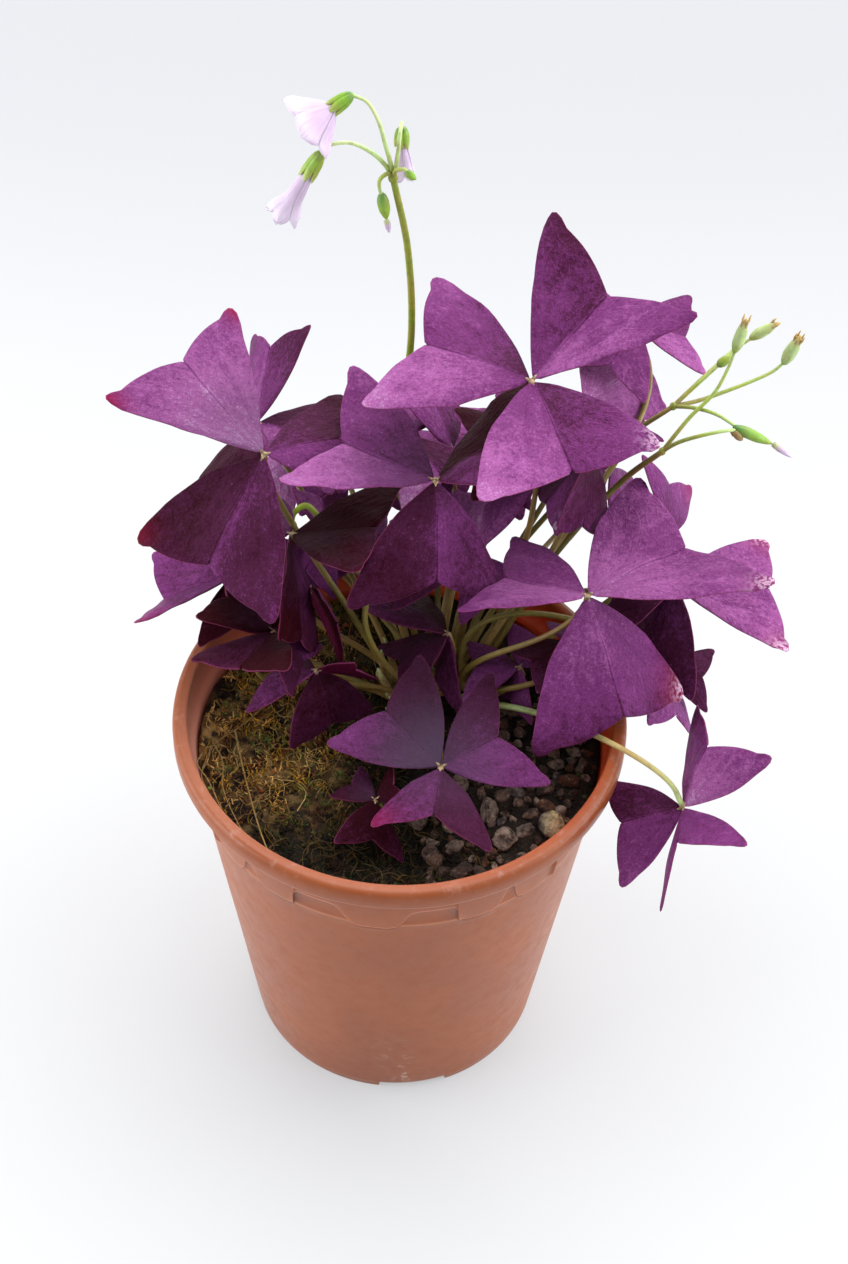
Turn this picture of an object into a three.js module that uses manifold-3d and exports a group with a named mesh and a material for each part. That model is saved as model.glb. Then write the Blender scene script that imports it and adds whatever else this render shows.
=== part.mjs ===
// Purple shamrock (Oxalis triangularis) in a plastic nursery pot.
// Millimetres, +Z up, origin at the middle of the pot's foot.

import * as THREE from "three";
import { mergeVertices } from "three/addons/utils/BufferGeometryUtils.js";
import Module from "manifold-3d";

const wasm = await Module();
wasm.setup();

// ---- driving dimensions ----

const POT_HEIGHT = 132;
const LIP_RADIUS = 65;
const FOOT_RADIUS = 44.8;
const WALL_TAPER = 0.1256; // radius gained per millimetre of height
const WALL = 1.6;
const FLOOR = 3;
const SIDES = 40; // sides of the pot's inside and of the soil
const BAND_RISE = 0.9; // how far the collar band stands out of the wall
const BAND_TOP = 124.6;
const LIP_BOTTOM = 125;
const TAB_CENTRES = [-170, -95, -20, 50, 120];
const DRAIN_COUNT = 4;
const DRAIN_CENTRE = -81;
const DRAIN_WIDTH = 27; // degrees of the foot
const DRAIN_HEIGHT = 1.8; // how far each notch in the foot is cut up
const DRAIN_HOLE_RADIUS = 3.5;
const DRAIN_HOLE_REACH = 34;

const GAP = 0.3; // clearance between pieces that touch
const SOIL_GAP = 0.4; // clearance of the soil to the wall and to the stalks
const SLIVER = 0.15; // details below this size are smoothed away where solids join
const SOIL_TOP = 118;

const CROWN = new THREE.Vector3(9, 18, 112); // middle of the rhizome
const CROWN_RADII = new THREE.Vector3(17, 12, 9);
const CROWN_SIDES = 14;
const CROWN_LATITUDES = [-80, -48, -16, 16, 48, 80];
const CROWN_HOLE_MARGIN = 0.7; // the soil's hole is that much wider than the rhizome
const RUNNER_BASE = new THREE.Vector3(-3, -21, 112); // foot of the leaf that stands apart
const RUNNER_RADII = [2, 1.2];

const STALK_BASE_RADIUS = 1;
const STALK_TOP_RADIUS = 0.75;
const STALK_SIDES = 4;
const STALK_STEP = 12; // length of a straight piece of leaf stalk
const FOOT_SPREAD = 0.75; // a stalk's foot keeps to this share of the rhizome
const FOOT_REACH = 60; // leaves further out than this start at that share
const HUB_TOP = 0.5;
const HUB_DEPTH = 3.6;
const HUB_RADII = [1.3, 0.9];

const BLADE_THICKNESS = 0.8;
const BLADE_DROOP = 0.08;
const SPREAD = 38; // degrees from midrib to ear
const FOLD = -8; // degrees, each half of the leaflet against the level
const NOTCH = 0.8; // depth of the leaflet's midrib against the ears

// ---- colours ----

const PURPLE = { color: 0x6a2f6c, roughness: 0.55, metalness: 0 };
const GREEN = { color: 0x7d8434, roughness: 0.6, metalness: 0 };
const LILAC = { color: 0xe9dcef, roughness: 0.6, metalness: 0 };
const TERRACOTTA = { color: 0xb77660, roughness: 0.5, metalness: 0 };
const PEAT = { color: 0x33261c, roughness: 1, metalness: 0 };
const STONE = { color: 0x9a8a5a, roughness: 0.9, metalness: 0 };

// ---- plant: leaves ----
// hub: where the three leaflets meet. bow: how far the stalk swings out (x, y, z) and the
// share of its length over which it rises straight at its foot and at the hub.
// arrive: heading and pitch of the stalk's end, where it isn't straight below the hub.
// leaflets: heading, pitch, roll, length to the ear, then where they differ from the
// usual leaflet its spread, fold, notch, how much longer the left ear is, and how round
// its sides are.

const LEAVES = [
  // the four large leaves on top
  { hub: [33, 42, 222], bow: [9, 3, 0, 0.1, 0.54],
    leaflets: [[45, 27, 2, 49, 37, 17, 0.8, 0.02, 0.4], [160, 8, -5, 46, 36, 0, 0.83],
      [-71, -1, 0, 45, 37, 12, 0.91, -0.08]] },
  { hub: [-39, 33, 200], bow: [-2, -1, 0, 0.23, 0.19],
    leaflets: [[138, 26, 1, 46, 34, -2, 0.91, -0.03, 0.2], [-126, -39, 3, 46, 35, 0, 0.91],
      [26, -4, 5, 35, 33, -9, 0.76, 0.08]] },
  { hub: [8, 28, 197], bow: [-26, -13, 0, 0.53, 0.56],
    leaflets: [[158, 7, -2, 44, 36, 17, 0.78, -0.01], [-84, -45, -23, 41, 37, -13, 0.85, -0.01],
      [16, 35, -16, 40, 38, 2, 0.91]] },
  { hub: [51, 10, 172], bow: [-8, -2, 0, 0.54, 0.42],
    leaflets: [[35, 4, -8, 50, 39, 12, 0.88, -0.03], [158, -5, 17, 38, 39, 5, 0.83, -0.03],
      [-60, -47, 0, 47, 35, -21, 0.95, 0.01]] },
  // right side
  { hub: [78, 30, 156], bow: [-7, 18, 0, 0.65, 0.4],
    leaflets: [[6, -6, 2, 37, 36, 0, 0.93, 0.02], [-144, -59, -1, 34, 40, -10], [175, -15, 0, 28]] },
  { hub: [77, 45, 160], bow: [3, -5, 0, 0.38, 0.5],
    leaflets: [[89, 24, 57, 26, 39, 2, 0.8, -0.03], [32, -60, 0, 22], [170, 0, 0, 24]] },
  { hub: [80, -29, 128], bow: [-2, 1, 10, 0.16, 0.07], arrive: [123, 34],
    leaflets: [[63, 55, -35, 30, 38, -18], [-178, -21, -11, 28, 39, -15, 0.85, -0.01],
      [-103, 22, 54, 30, 40, -29]] },
  { hub: [78, 23, 127], bow: [-19, 7, 9, 0.57, 0.28], arrive: [174, 48],
    leaflets: [[-1, -15, 13, 18, 38, -5, 0.8, 0.05], [-76, -20, -49, 23], [113, -12, 0, 26]] },
  { hub: [65, 86, 204], bow: [25, 2, 0, 0.63, 0.3],
    leaflets: [[12, -20, 9, 25, 39, 8, 0.83, 0.05], [167, 15, 0, 28], [-125, -15, 0, 24]] },
  { hub: [50, 65, 192], bow: [-3, -2, 0, 0.41, 0.41],
    leaflets: [[48, 1, 38, 36, 34, -27, 0.91, -0.01], [185, -15, 0, 32], [-70, 15, 0, 26]] },
  { hub: [52, 48, 190], bow: [5, -1, 0, 0.13, 0.13], arrive: [135, -76],
    leaflets: [[-94, -46, -62, 28, 36, 6, 0.93, 0.02], [-160, -48, 20, 28, 36, -3, 0.93, -0.1],
      [102, -15, 0, 26]] },
  // front and low over the soil
  { hub: [12, -22, 134], bow: [1, -2, 0, 0.5, 0.14],
    leaflets: [[139, 21, -12, 33, 36, 0, 0.84, -0.03], [23, 21, 16, 31, 38, -2, 0.74, 0.01],
      [-95, 10, -6, 29, 37, -9, 0.79, 0.03]] },
  { hub: [-6, -28, 126], bow: [0, 0, 0, 0.4, 0.2], base: RUNNER_BASE,
    leaflets: [[144, 10, 8, 13, 37, -3, 0.8, -0.02], [21, 46, -5, 11, 39, 2], [-89, -8, -31, 19, 37, -5]] },
  { hub: [47, 14, 148], bow: [-3, -8, 0, 0.52, 0.29],
    leaflets: [[-155, -12, 12, 19, 39, -5], [70, -20, 0, 16], [-48, 0, 0, 22]] },
  { hub: [34, 14, 136], bow: [0, 5, 0, 0.42, 0.29],
    leaflets: [[-125, -58, 27, 17, 38, -14, 0.8, -0.01], [60, 0, 0, 20], [176, -3, 0, 20]] },
  { hub: [13, 20, 143], bow: [-1, 1, 0, 0.37, 0.48],
    leaflets: [[140, 11, 27, 26, 37, -4], [-158, -17, 17, 25, 38, -7], [-123, -61, 45, 24, 38, -18]] },
  // left side
  { hub: [-44, 66, 180], bow: [-2, -2, 0, 0.31, 0.26],
    leaflets: [[85, 39, -56, 33, 35, -6, 0.84, 0.01], [-125, -27, 32, 27, 40, -5], [-8, 0, 0, 32]] },
  { hub: [-32, 28, 174], bow: [6, 11, 0, 0.54, 0.4], arrive: [-13, -56],
    leaflets: [[-16, 26, -3, 35, 36, 10, 0.96, -0.02], [-77, -33, -68, 36, 32, 3, 0.98, 0.03],
      [142, -15, 0, 26]] },
  { hub: [-36, 9, 154], bow: [-8, -2, 0, 0.5, 0.55],
    leaflets: [[157, 34, 21, 26, 38, 0], [-116, 18, 21, 28, 38, 10, 0.9, 0.08], [-24, -36, -8, 19]] },
  { hub: [-24, 3, 145], bow: [-2, 3, 0, 0.38, 0.23],
    leaflets: [[166, -19, 3, 23, 38, -6], [-53, -58, 3, 25, 35, -12, 0.86, 0.03],
      [-5, 16, -60, 19, 41, 1, 0.8, -0.02]] },
  { hub: [-50, 27, 156], bow: [7, -8, 0, 0.27, 0.53],
    leaflets: [[-178, -22, 15, 32, 40, 21, 0.86, -0.03], [70, 15, 0, 24], [-72, -15, 0, 22]] },
  { hub: [-27, 29, 150], bow: [-2, 5, 0, 0.42, 0.35],
    leaflets: [[-55, 3, -81, 25, 39, -4], [80, 10, 0, 20], [144, -15, 0, 24]] },
  { hub: [-23, 43, 158], bow: [9, -3, 0, 0.5, 0.43],
    leaflets: [[97, 41, 38, 17, 38, 4, 0.8, -0.03], [11, -6, -6, 26], [-119, -17, -5, 19]] },
  // middle and back
  { hub: [13, 70, 168], bow: [1, 0, 0, 0.55, 0.27],
    leaflets: [[114, 32, 38, 23, 40, 2, 0.8, -0.03], [10, -15, 1, 30], [-138, -1, 1, 30]] },
  { hub: [20, 38, 158], bow: [0, 0, 0, 0.45, 0.25],
    leaflets: [[79, 21, -31, 26, 35, -2, 0.8, 0.04], [182, 0, 0, 30], [-60, -15, 0, 22]] },
  { hub: [-19, 83, 158], bow: [-6, 4, 0, 0.62, 0.11],
    leaflets: [[90, -15, 0, 30], [210, 0, 0, 30], [-18, 0, 0, 30]] },
  { hub: [-1, 67, 176], bow: [10, 14, 0, 0.63, 0.32], arrive: [34, -62],
    leaflets: [[100, -10, 0, 26], [193, 4, 0, 28], [-48, -12, 0, 28]] },
  { hub: [21, 92, 152], bow: [0, 0, 0, 0.45, 0.25],
    leaflets: [[90, -15, 0, 32], [210, -15, 0, 32], [-30, 0, 0, 32]] },
  { hub: [40, 68, 176], bow: [-6, -2, 0, 0.48, 0.13],
    leaflets: [[71, -2, -4, 29], [189, 0, -5, 30], [19, -41, 0, 27]] },
  { hub: [61, 82, 150], bow: [0, 0, 0, 0.45, 0.25],
    leaflets: [[102, 15, 0, 28], [198, -15, 0, 28], [-15, -60, 0, 28]] },
  { hub: [-34, 84, 150], bow: [0, 0, 0, 0.45, 0.25],
    leaflets: [[90, -15, 0, 28], [222, -15, 0, 28], [-30, 0, 0, 28]] },
];

// ---- plant: flower stalks, each a line of points with its first and last radius ----

const UMBEL_PLANE = 58; // the tall flower stalk's blooms lie in this plane
const UMBEL = [-5.4, UMBEL_PLANE, 276];
const RIGHT_UMBEL_LOW = [71, 45, 194];
const RIGHT_UMBEL_HIGH = [74, 57, 200];

const SCAPES = [
  { points: [[11, 26, 112], [17.9, 38, 136.7], [0.8, 56.4, 154], [-5.5, 55.8, 181.9], [-0.3, 62.3, 210],
      [-1.2, 58, 252], UMBEL],
    radii: [1.2, 0.9], steps: 14 },
  { points: [[17, 24, 112], [31, 36, 132], [45, 43, 156], [61, 52, 174], RIGHT_UMBEL_LOW],
    radii: [1.2, 0.8], steps: 10 },
  { points: [[14, 27, 112], [27, 46, 138], [44, 55, 162], [62, 60, 184], RIGHT_UMBEL_HIGH],
    radii: [1, 0.7], steps: 10 },
];

const PEDICEL_RADIUS = 0.55;
const PEDICELS = [
  // the three blooms, the hanging bud and the tiny bud of the tall stalk
  [UMBEL, [-6.2, 58, 281], [-7.5, 58, 286.5], [-9.4, 58, 294], [-12.4, 58, 299.5], [-16.4, 58, 301.3]],
  [UMBEL, [-7.5, 58, 280], [-11.3, 58, 284], [-16.4, 58, 286.5], [-21.5, 58, 285.6], [-23.8, 58, 283.2]],
  [UMBEL, [-4.7, 58, 279.6], [-4.2, 59, 283.6], [-3.8, 61.5, 288], [-3.5, 64, 288.8], [-3.5, 65.5, 286]],
  [UMBEL, [-6.7, 57, 278], [-8.5, 56.5, 276.8], [-8.9, 56.5, 274.5], [-8.4, 56.5, 271.6]],
  [UMBEL, [-4.6, 56.5, 279.5], [-2.6, 55.5, 280.6], [-1.4, 55, 280.2]],
  // the right-hand heads
  [RIGHT_UMBEL_HIGH, [81.4, 60, 199.7], [88.7, 63, 200.6], [96.6, 66, 202.3], [102.3, 68, 204.4],
    [105.2, 68.8, 207.4]],
  [RIGHT_UMBEL_HIGH, [80, 62, 203.6], [86.2, 68, 206], [91.4, 73, 207.8], [96, 75, 210.3]],
  [RIGHT_UMBEL_HIGH, [78.2, 60, 202.8], [82.3, 62, 206.4], [86.2, 64, 209.8]],
  [RIGHT_UMBEL_HIGH, [79.3, 54.5, 202], [85.4, 50, 203.9], [90.4, 46, 203.5]],
  [RIGHT_UMBEL_LOW, [74, 47, 198], [78.5, 51, 202.2], [84.6, 55, 207.4], [88, 58.5, 214],
    [89.3, 60, 219]],
  [RIGHT_UMBEL_LOW, [74.8, 43.5, 199], [81, 41.5, 204], [86.5, 42.5, 204.8], [90, 44.6, 203.4]],
];

// green buds and seed pods: foot, tip, widest radius
const BUDS = [
  { foot: [-8.3, 56.5, 272], tip: [-6.9, 56.5, 263.5], radius: 1.6 },
  { foot: [-2.2, 55.2, 280.4], tip: [0.6, 54.6, 278.2], radius: 1.1 },
  { foot: [104.9, 68.6, 206.9], tip: [107.7, 66, 219.6], radius: 1.9 },
  { foot: [95.5, 75, 210], tip: [102.7, 75, 216.4], radius: 1.6 },
  { foot: [85.8, 63.8, 209.4], tip: [89.3, 65, 212.6], radius: 1.4 },
  { foot: [89.2, 59.8, 218.4], tip: [91.1, 60.5, 230.1], radius: 1.7 },
  { foot: [89.8, 45.3, 203.9], tip: [101.3, 46, 197.2], radius: 1.6 },
  { foot: [-33, 43, 163.6], tip: [-32.2, 43, 156.5], radius: 1.5 },
];

// a young rolled leaf on its own stalk
const CROZIER = {
  points: [[6, 23, 112], [2, 29, 137], [-20, 38, 158], [-26, 44, 166], [-29, 44, 169],
    [-32, 43, 167], [-33, 43, 163]],
  radii: [1, 0.8],
  steps: 14,
};

// blooms: foot of the calyx, middle of the mouth, calyx length and radius, mouth radius,
// how much of the petals is free beyond their tube, and how far the lobes are drawn apart
const BLOOMS = [
  { foot: [-15.9, 58, 301.4], mouth: [-28, 55.5, 292.4], cup: 7.5, cupRadius: 2.2,
    mouthRadius: 8.2, tube: 0.45, lobe: 0.46 },
  { foot: [-23.6, 58, 283.4], mouth: [-34.4, 57, 262.6], cup: 9.5, cupRadius: 2.3,
    mouthRadius: 4.6, tube: 0.75, lobe: 0.12 },
  { foot: [-3.5, 65.5, 286.2], mouth: [-3, 65.5, 270], cup: 6.4, cupRadius: 2.1,
    mouthRadius: 3.1, tube: 0.6, lobe: 0.16 },
];

// closed petals that look out of a bud: foot, tip, radius
const FURLED_PETALS = [
  { name: "petals_bud", foot: [-6.84, 56.5, 263.15], tip: [-6.2, 56.5, 259.2], radius: 0.9 },
  { name: "petals_withered", foot: [101.75, 46.05, 196.9], tip: [107.6, 46.6, 191.6], radius: 0.95 },
];

// ---- soil ----

const GRAVEL_COUNT = 28;
const GRAVEL_SEED = 41;
const GRAVEL_REACH = [20, 55]; // distance from the middle of the pot
const GRAVEL_SECTOR = [-74, 22]; // degrees
const GRAVEL_SIZE = [2.3, 3.9];
const GRAVEL_LIMIT = 56.5; // no stone stands out further than this
const PEBBLE = { centre: [43.5, -31, 120.6], radii: [4.3, 3.9, 3.4] };

// ---- solids ----

function toSolid(geometry) {
  const bare = geometry.clone();
  bare.deleteAttribute("normal");
  bare.deleteAttribute("uv");
  const merged = mergeVertices(bare, 1e-4);
  const mesh = new wasm.Mesh({
    numProp: 3,
    vertProperties: new Float32Array(merged.attributes.position.array),
    triVerts: new Uint32Array(merged.index.array),
  });
  return new wasm.Manifold(mesh);
}

function solidFrom(points, faces) {
  const geometry = new THREE.BufferGeometry();
  geometry.setFromPoints(points);
  geometry.setIndex(faces);
  return toSolid(geometry);
}

// Closes a stack of rings, each with as many points, into a solid. The rings turn
// counter-clockwise about the way they are stacked.
function solidFromRings(rings) {
  const count = rings[0].length;
  const faces = [];
  for (let row = 0; row + 1 < rings.length; row += 1) {
    for (let j = 0; j < count; j += 1) {
      const here = row * count + j;
      const next = row * count + ((j + 1) % count);
      faces.push(here, next, next + count, here, next + count, here + count);
    }
  }
  const last = (rings.length - 1) * count;
  for (let j = 1; j + 1 < count; j += 1) {
    faces.push(0, j + 1, j, last, last + j, last + j + 1);
  }
  return solidFrom(rings.flat(), faces);
}

// Joins solids into one body and drops the slivers that joining leaves.
function join(solids) {
  return solids.reduce((whole, solid) => whole.add(solid)).simplify(SLIVER);
}

// The largest body of a solid, without loose scraps.
function mainBody(solid) {
  return solid.decompose().reduce((largest, body) => (body.volume() > largest.volume() ? body : largest));
}

const group = new THREE.Group();

function addPiece(name, solid, look) {
  const mesh = solid.getMesh();
  const geometry = new THREE.BufferGeometry();
  geometry.setAttribute("position", new THREE.Float32BufferAttribute(mesh.vertProperties, 3));
  geometry.setIndex(Array.from(mesh.triVerts));
  geometry.computeVertexNormals();
  const piece = new THREE.Mesh(geometry, new THREE.MeshStandardMaterial(look));
  piece.name = name;
  group.add(piece);
}

// ---- small geometry helpers ----

const radians = THREE.MathUtils.degToRad;

function vector(values) {
  return new THREE.Vector3(...values);
}

function fromAngles(heading, pitch) {
  const level = Math.cos(radians(pitch));
  return new THREE.Vector3(
    level * Math.cos(radians(heading)),
    level * Math.sin(radians(heading)),
    Math.sin(radians(pitch)),
  );
}

function seededRandom(seed) {
  let state = seed;
  return () => {
    state = (state * 1103515245 + 12345) % 2147483648;
    return state / 2147483648;
  };
}

// Value at x of a line through [x, y] knots.
function along(knots, x) {
  const next = knots.findIndex((knot) => knot[0] >= x);
  if (next < 0) {
    return knots[knots.length - 1][1];
  }
  if (next === 0) {
    return knots[0][1];
  }
  const [x0, y0] = knots[next - 1];
  const [x1, y1] = knots[next];
  return y0 + ((y1 - y0) * (x - x0)) / (x1 - x0);
}

// A tapering tube along a curve, its rings carried along without twist.
function tube(curve, startRadius, endRadius, sides, steps) {
  const rings = [];
  let normal = new THREE.Vector3(1, 0.3, 0.1);
  for (let i = 0; i <= steps; i += 1) {
    const share = i / steps;
    const centre = curve.getPoint(share);
    const tangent = curve.getTangent(share);
    normal = normal.clone().addScaledVector(tangent, -normal.dot(tangent)).normalize();
    const binormal = tangent.clone().cross(normal);
    const radius = startRadius + (endRadius - startRadius) * share;
    const ring = [];
    for (let j = 0; j < sides; j += 1) {
      const angle = (2 * Math.PI * j) / sides;
      ring.push(centre.clone()
        .addScaledVector(normal, radius * Math.cos(angle))
        .addScaledVector(binormal, radius * Math.sin(angle)));
    }
    rings.push(ring);
  }
  return solidFromRings(rings);
}

// Rings round an axis from `foot` to `tip`: a ring for each pair of distance along the
// axis and radius, or of functions of the angle that give them.
function turned(foot, tip, pairs, sides) {
  const axis = tip.clone().sub(foot).normalize();
  const across = new THREE.Vector3(0, 1, 0).cross(axis).normalize();
  const up = axis.clone().cross(across);
  const rings = pairs.map(([distance, radius]) => {
    const ring = [];
    for (let j = 0; j < sides; j += 1) {
      const angle = (2 * Math.PI * j) / sides;
      const s = typeof distance === "function" ? distance(angle) : distance;
      const r = typeof radius === "function" ? radius(angle) : radius;
      ring.push(foot.clone().addScaledVector(axis, s)
        .addScaledVector(across, r * Math.cos(angle))
        .addScaledVector(up, r * Math.sin(angle)));
    }
    return ring;
  });
  return solidFromRings(rings);
}

// ---- pot ----

// Lower edge of the collar band against the share of the way from the middle of a tab
// to halfway to the next: tab, slope, stacking recess, lug, then a curve up to the lip.
const BAND_EDGE = [
  [0, 108], [5, 108], [8, 113], [10, 117.5], [22.3, 117.5], [22.7, 110.5],
  [27, 108.8], [33, 109], [35, 112], [36.5, 118], [37.5, 123.6],
];
const BAND_STEPS = [0, 5, 10, 16, 22.3, 22.7, 28, 34, 37.5];

function potColumns() {
  const columns = [];
  const count = TAB_CENTRES.length;
  for (let tab = 0; tab < count; tab += 1) {
    const centre = TAB_CENTRES[tab];
    const after = tab + 1 < count ? TAB_CENTRES[tab + 1] : TAB_CENTRES[0] + 360;
    const before = tab > 0 ? TAB_CENTRES[tab - 1] : TAB_CENTRES[count - 1] - 360;
    const limit = BAND_STEPS[BAND_STEPS.length - 1];
    for (const step of BAND_STEPS.slice(1, -1).reverse()) {
      const angle = centre - (step / limit) * (centre - before) / 2;
      columns.push({ angle, edge: along(BAND_EDGE, step) });
    }
    for (const step of BAND_STEPS) {
      const angle = centre + (step / limit) * (after - centre) / 2;
      columns.push({ angle, edge: along(BAND_EDGE, step) });
    }
  }
  return columns;
}

function wallRadius(height) {
  return FOOT_RADIUS + WALL_TAPER * height;
}

function potOuter() {
  const bandRadius = wallRadius(BAND_TOP) + BAND_RISE;
  const rows = [
    () => [FOOT_RADIUS, 0],
    (edge) => [wallRadius(edge - 0.5), edge - 0.5],
    (edge) => [wallRadius(edge) + BAND_RISE, edge],
    () => [bandRadius, BAND_TOP],
    () => [LIP_RADIUS - 1, LIP_BOTTOM],
    () => [LIP_RADIUS, LIP_BOTTOM + 2],
    () => [LIP_RADIUS, POT_HEIGHT - 1.4],
    () => [LIP_RADIUS - 1, POT_HEIGHT],
  ];
  const columns = potColumns();
  const rings = rows.map((row) => columns.map(({ angle, edge }) => {
    const [radius, height] = row(edge);
    const turn = radians(angle);
    return new THREE.Vector3(radius * Math.cos(turn), radius * Math.sin(turn), height);
  }));
  return solidFromRings(rings);
}

// Inside of the pot, radius and height from the floor up, with its two stacking steps.
const INNER = [
  [wallRadius(FLOOR) - WALL, FLOOR],
  [wallRadius(111) - WALL, 111],
  [wallRadius(111) - WALL + 0.9, 112.2],
  [58.8, 119.5],
  [60, 120.8],
  [61, 126.5],
  [61.8, POT_HEIGHT + 0.5],
];

function revolved(profile, sides) {
  const outline = [[0, profile[0][1]], ...profile, [0, profile[profile.length - 1][1]]];
  const points = outline.map(([radius, height]) => new THREE.Vector2(radius, height));
  const geometry = new THREE.LatheGeometry(points, sides);
  geometry.rotateX(Math.PI / 2);
  return toSolid(geometry);
}

function potSolid() {
  let pot = potOuter().subtract(revolved(INNER, SIDES));
  for (let i = 0; i < DRAIN_COUNT; i += 1) {
    const middle = radians(DRAIN_CENTRE + (360 / DRAIN_COUNT) * i);
    const half = radians(DRAIN_WIDTH / 2);
    const sector = new THREE.Shape();
    const inner = DRAIN_HOLE_REACH - DRAIN_HOLE_RADIUS;
    sector.absarc(0, 0, FOOT_RADIUS + 2, middle - half, middle + half, false);
    sector.absarc(0, 0, inner, middle + half / 2, middle - half / 2, true);
    const notch = new THREE.ExtrudeGeometry(sector, {
      depth: 2 * DRAIN_HEIGHT,
      curveSegments: 5,
      bevelEnabled: false,
    });
    notch.translate(0, 0, -DRAIN_HEIGHT);
    const hole = new THREE.CylinderGeometry(DRAIN_HOLE_RADIUS, DRAIN_HOLE_RADIUS, FLOOR * 3, 12);
    hole.rotateX(Math.PI / 2);
    hole.translate(DRAIN_HOLE_REACH * Math.cos(middle), DRAIN_HOLE_REACH * Math.sin(middle), 0);
    pot = pot.subtract(toSolid(notch)).subtract(toSolid(hole));
  }
  return pot;
}

// ---- leaves ----

const SIDE_SHARE = 0.8; // the side ends here, where the ear's curve begins
const OUTER_START = 0.24; // the outer edge begins here, where the ear's curve ends
const EAR_PULL = 1.15; // how far the ear's curve is drawn out
const SIDE_BULGE = 0.09; // how far the sides swell, as a share of the length
const OUTER_BULGE = 0.05; // the same for the outer edges
const EAR_START = 0.5;
const EAR_END = 0.62;

// Shares of the outline at which a leaflet's edge bends: smaller leaflets need fewer.
function bladeSteps(length) {
  if (length <= 26) {
    return [0.3, 0.52, 0.61, 1];
  }
  return length <= 32 ? [0.28, 0.5, 0.6, 0.8, 1] : [0.24, 0.46, 0.53, 0.62, 0.82, 1];
}

// Point of one half of a leaflet's outline, from hub (0) over the ear to the notch (1).
function outlinePoint(leaflet, side, share) {
  const reach = leaflet.length * (1 + side * leaflet.skew);
  const spread = radians(leaflet.spread);
  const ear = new THREE.Vector2(Math.cos(spread), Math.sin(spread)).multiplyScalar(reach);
  const notch = new THREE.Vector2(leaflet.notch * leaflet.length * Math.cos(spread), 0);
  const sideOut = new THREE.Vector2(-Math.sin(spread), Math.cos(spread));
  const outer = notch.clone().sub(ear);
  const outerOut = new THREE.Vector2(-outer.y, outer.x).normalize();
  if (outerOut.x < 0) {
    outerOut.negate();
  }
  const onSide = (t) => ear.clone().multiplyScalar(t)
    .addScaledVector(sideOut, SIDE_BULGE * leaflet.round * reach * Math.sin(Math.PI * t));
  const onOuter = (t) => ear.clone().addScaledVector(outer, t)
    .addScaledVector(outerOut, OUTER_BULGE * reach * Math.sin(Math.PI * t));
  if (share < EAR_START) {
    return onSide((share / EAR_START) * SIDE_SHARE);
  }
  if (share < EAR_END) {
    const w = (share - EAR_START) / (EAR_END - EAR_START);
    const start = onSide(SIDE_SHARE).multiplyScalar((1 - w) * (1 - w));
    const middle = ear.clone().multiplyScalar(EAR_PULL * 2 * w * (1 - w));
    return start.add(middle).addScaledVector(onOuter(OUTER_START), w * w);
  }
  return onOuter(OUTER_START + ((share - EAR_END) / (1 - EAR_END)) * (1 - OUTER_START));
}

function readLeaflet(values) {
  const [heading, pitch, roll, length] = values;
  const [spread = SPREAD, fold = FOLD, notch = NOTCH, skew = 0, round = 1] = values.slice(4);
  const forward = fromAngles(heading, pitch);
  const level = new THREE.Vector3(-Math.sin(radians(heading)), Math.cos(radians(heading)), 0);
  const left = level.clone().applyAxisAngle(forward, radians(roll));
  const up = forward.clone().cross(left);
  return { forward, left, up, length, spread, fold, notch, skew, round };
}

// A point of the leaflet's upper face: `reach` along the midrib, `out` to its side.
function bladePoint(hub, leaflet, reach, out, side) {
  const fold = radians(leaflet.fold);
  const lift = out * Math.sin(fold) - (BLADE_DROOP * (reach * reach + out * out)) / leaflet.length;
  return hub.clone()
    .addScaledVector(leaflet.forward, reach)
    .addScaledVector(leaflet.left, side * out * Math.cos(fold))
    .addScaledVector(leaflet.up, lift);
}

function leafletSolid(hub, leaflet) {
  const steps = bladeSteps(leaflet.length);
  const rows = steps.length;
  const notchReach = leaflet.notch * leaflet.length * Math.cos(radians(leaflet.spread));
  const points = [hub.clone()];
  for (const share of steps) {
    points.push(bladePoint(hub, leaflet, notchReach * share ** 1.15, 0, 1));
  }
  for (const side of [1, -1]) {
    for (const share of steps.slice(0, -1)) {
      const edge = outlinePoint(leaflet, side, share);
      points.push(bladePoint(hub, leaflet, edge.x, edge.y, side));
    }
  }
  const top = points.length;
  const edgeIndex = (side, row) => {
    if (row === 0 || row === rows) {
      return row;
    }
    return rows + row + (side > 0 ? 0 : rows - 1);
  };
  const faces = [];
  for (const side of [1, -1]) {
    for (let row = 0; row < rows; row += 1) {
      const near = edgeIndex(side, row);
      const far = edgeIndex(side, row + 1);
      const triangles = [];
      if (row + 1 < rows) {
        triangles.push([row, row + 1, far]);
      }
      if (row > 0) {
        triangles.push([row, far, near]);
      }
      for (const [a, b, c] of triangles) {
        const upper = side > 0 ? [a, b, c] : [a, c, b];
        faces.push(...upper, ...upper.map((index) => index + top).reverse());
      }
    }
  }
  const border = [0];
  for (let row = 1; row <= rows; row += 1) {
    border.push(edgeIndex(-1, row));
  }
  for (let row = rows - 1; row > 0; row -= 1) {
    border.push(edgeIndex(1, row));
  }
  border.forEach((here, i) => {
    const next = border[(i + 1) % border.length];
    faces.push(here, here + top, next + top, here, next + top, next);
  });
  const under = points.map((point) => point.clone().addScaledVector(leaflet.up, -BLADE_THICKNESS));
  return solidFrom([...points, ...under], faces);
}

// Where the leaf's stalk ends: below its hub, or as its row states.
function stalkDirection(leaf, leaflets) {
  if (leaf.arrive) {
    return fromAngles(...leaf.arrive);
  }
  const lean = new THREE.Vector3(0, 0, 0.6);
  leaflets.forEach((leaflet) => lean.add(leaflet.up));
  return lean.normalize().negate();
}

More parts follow.
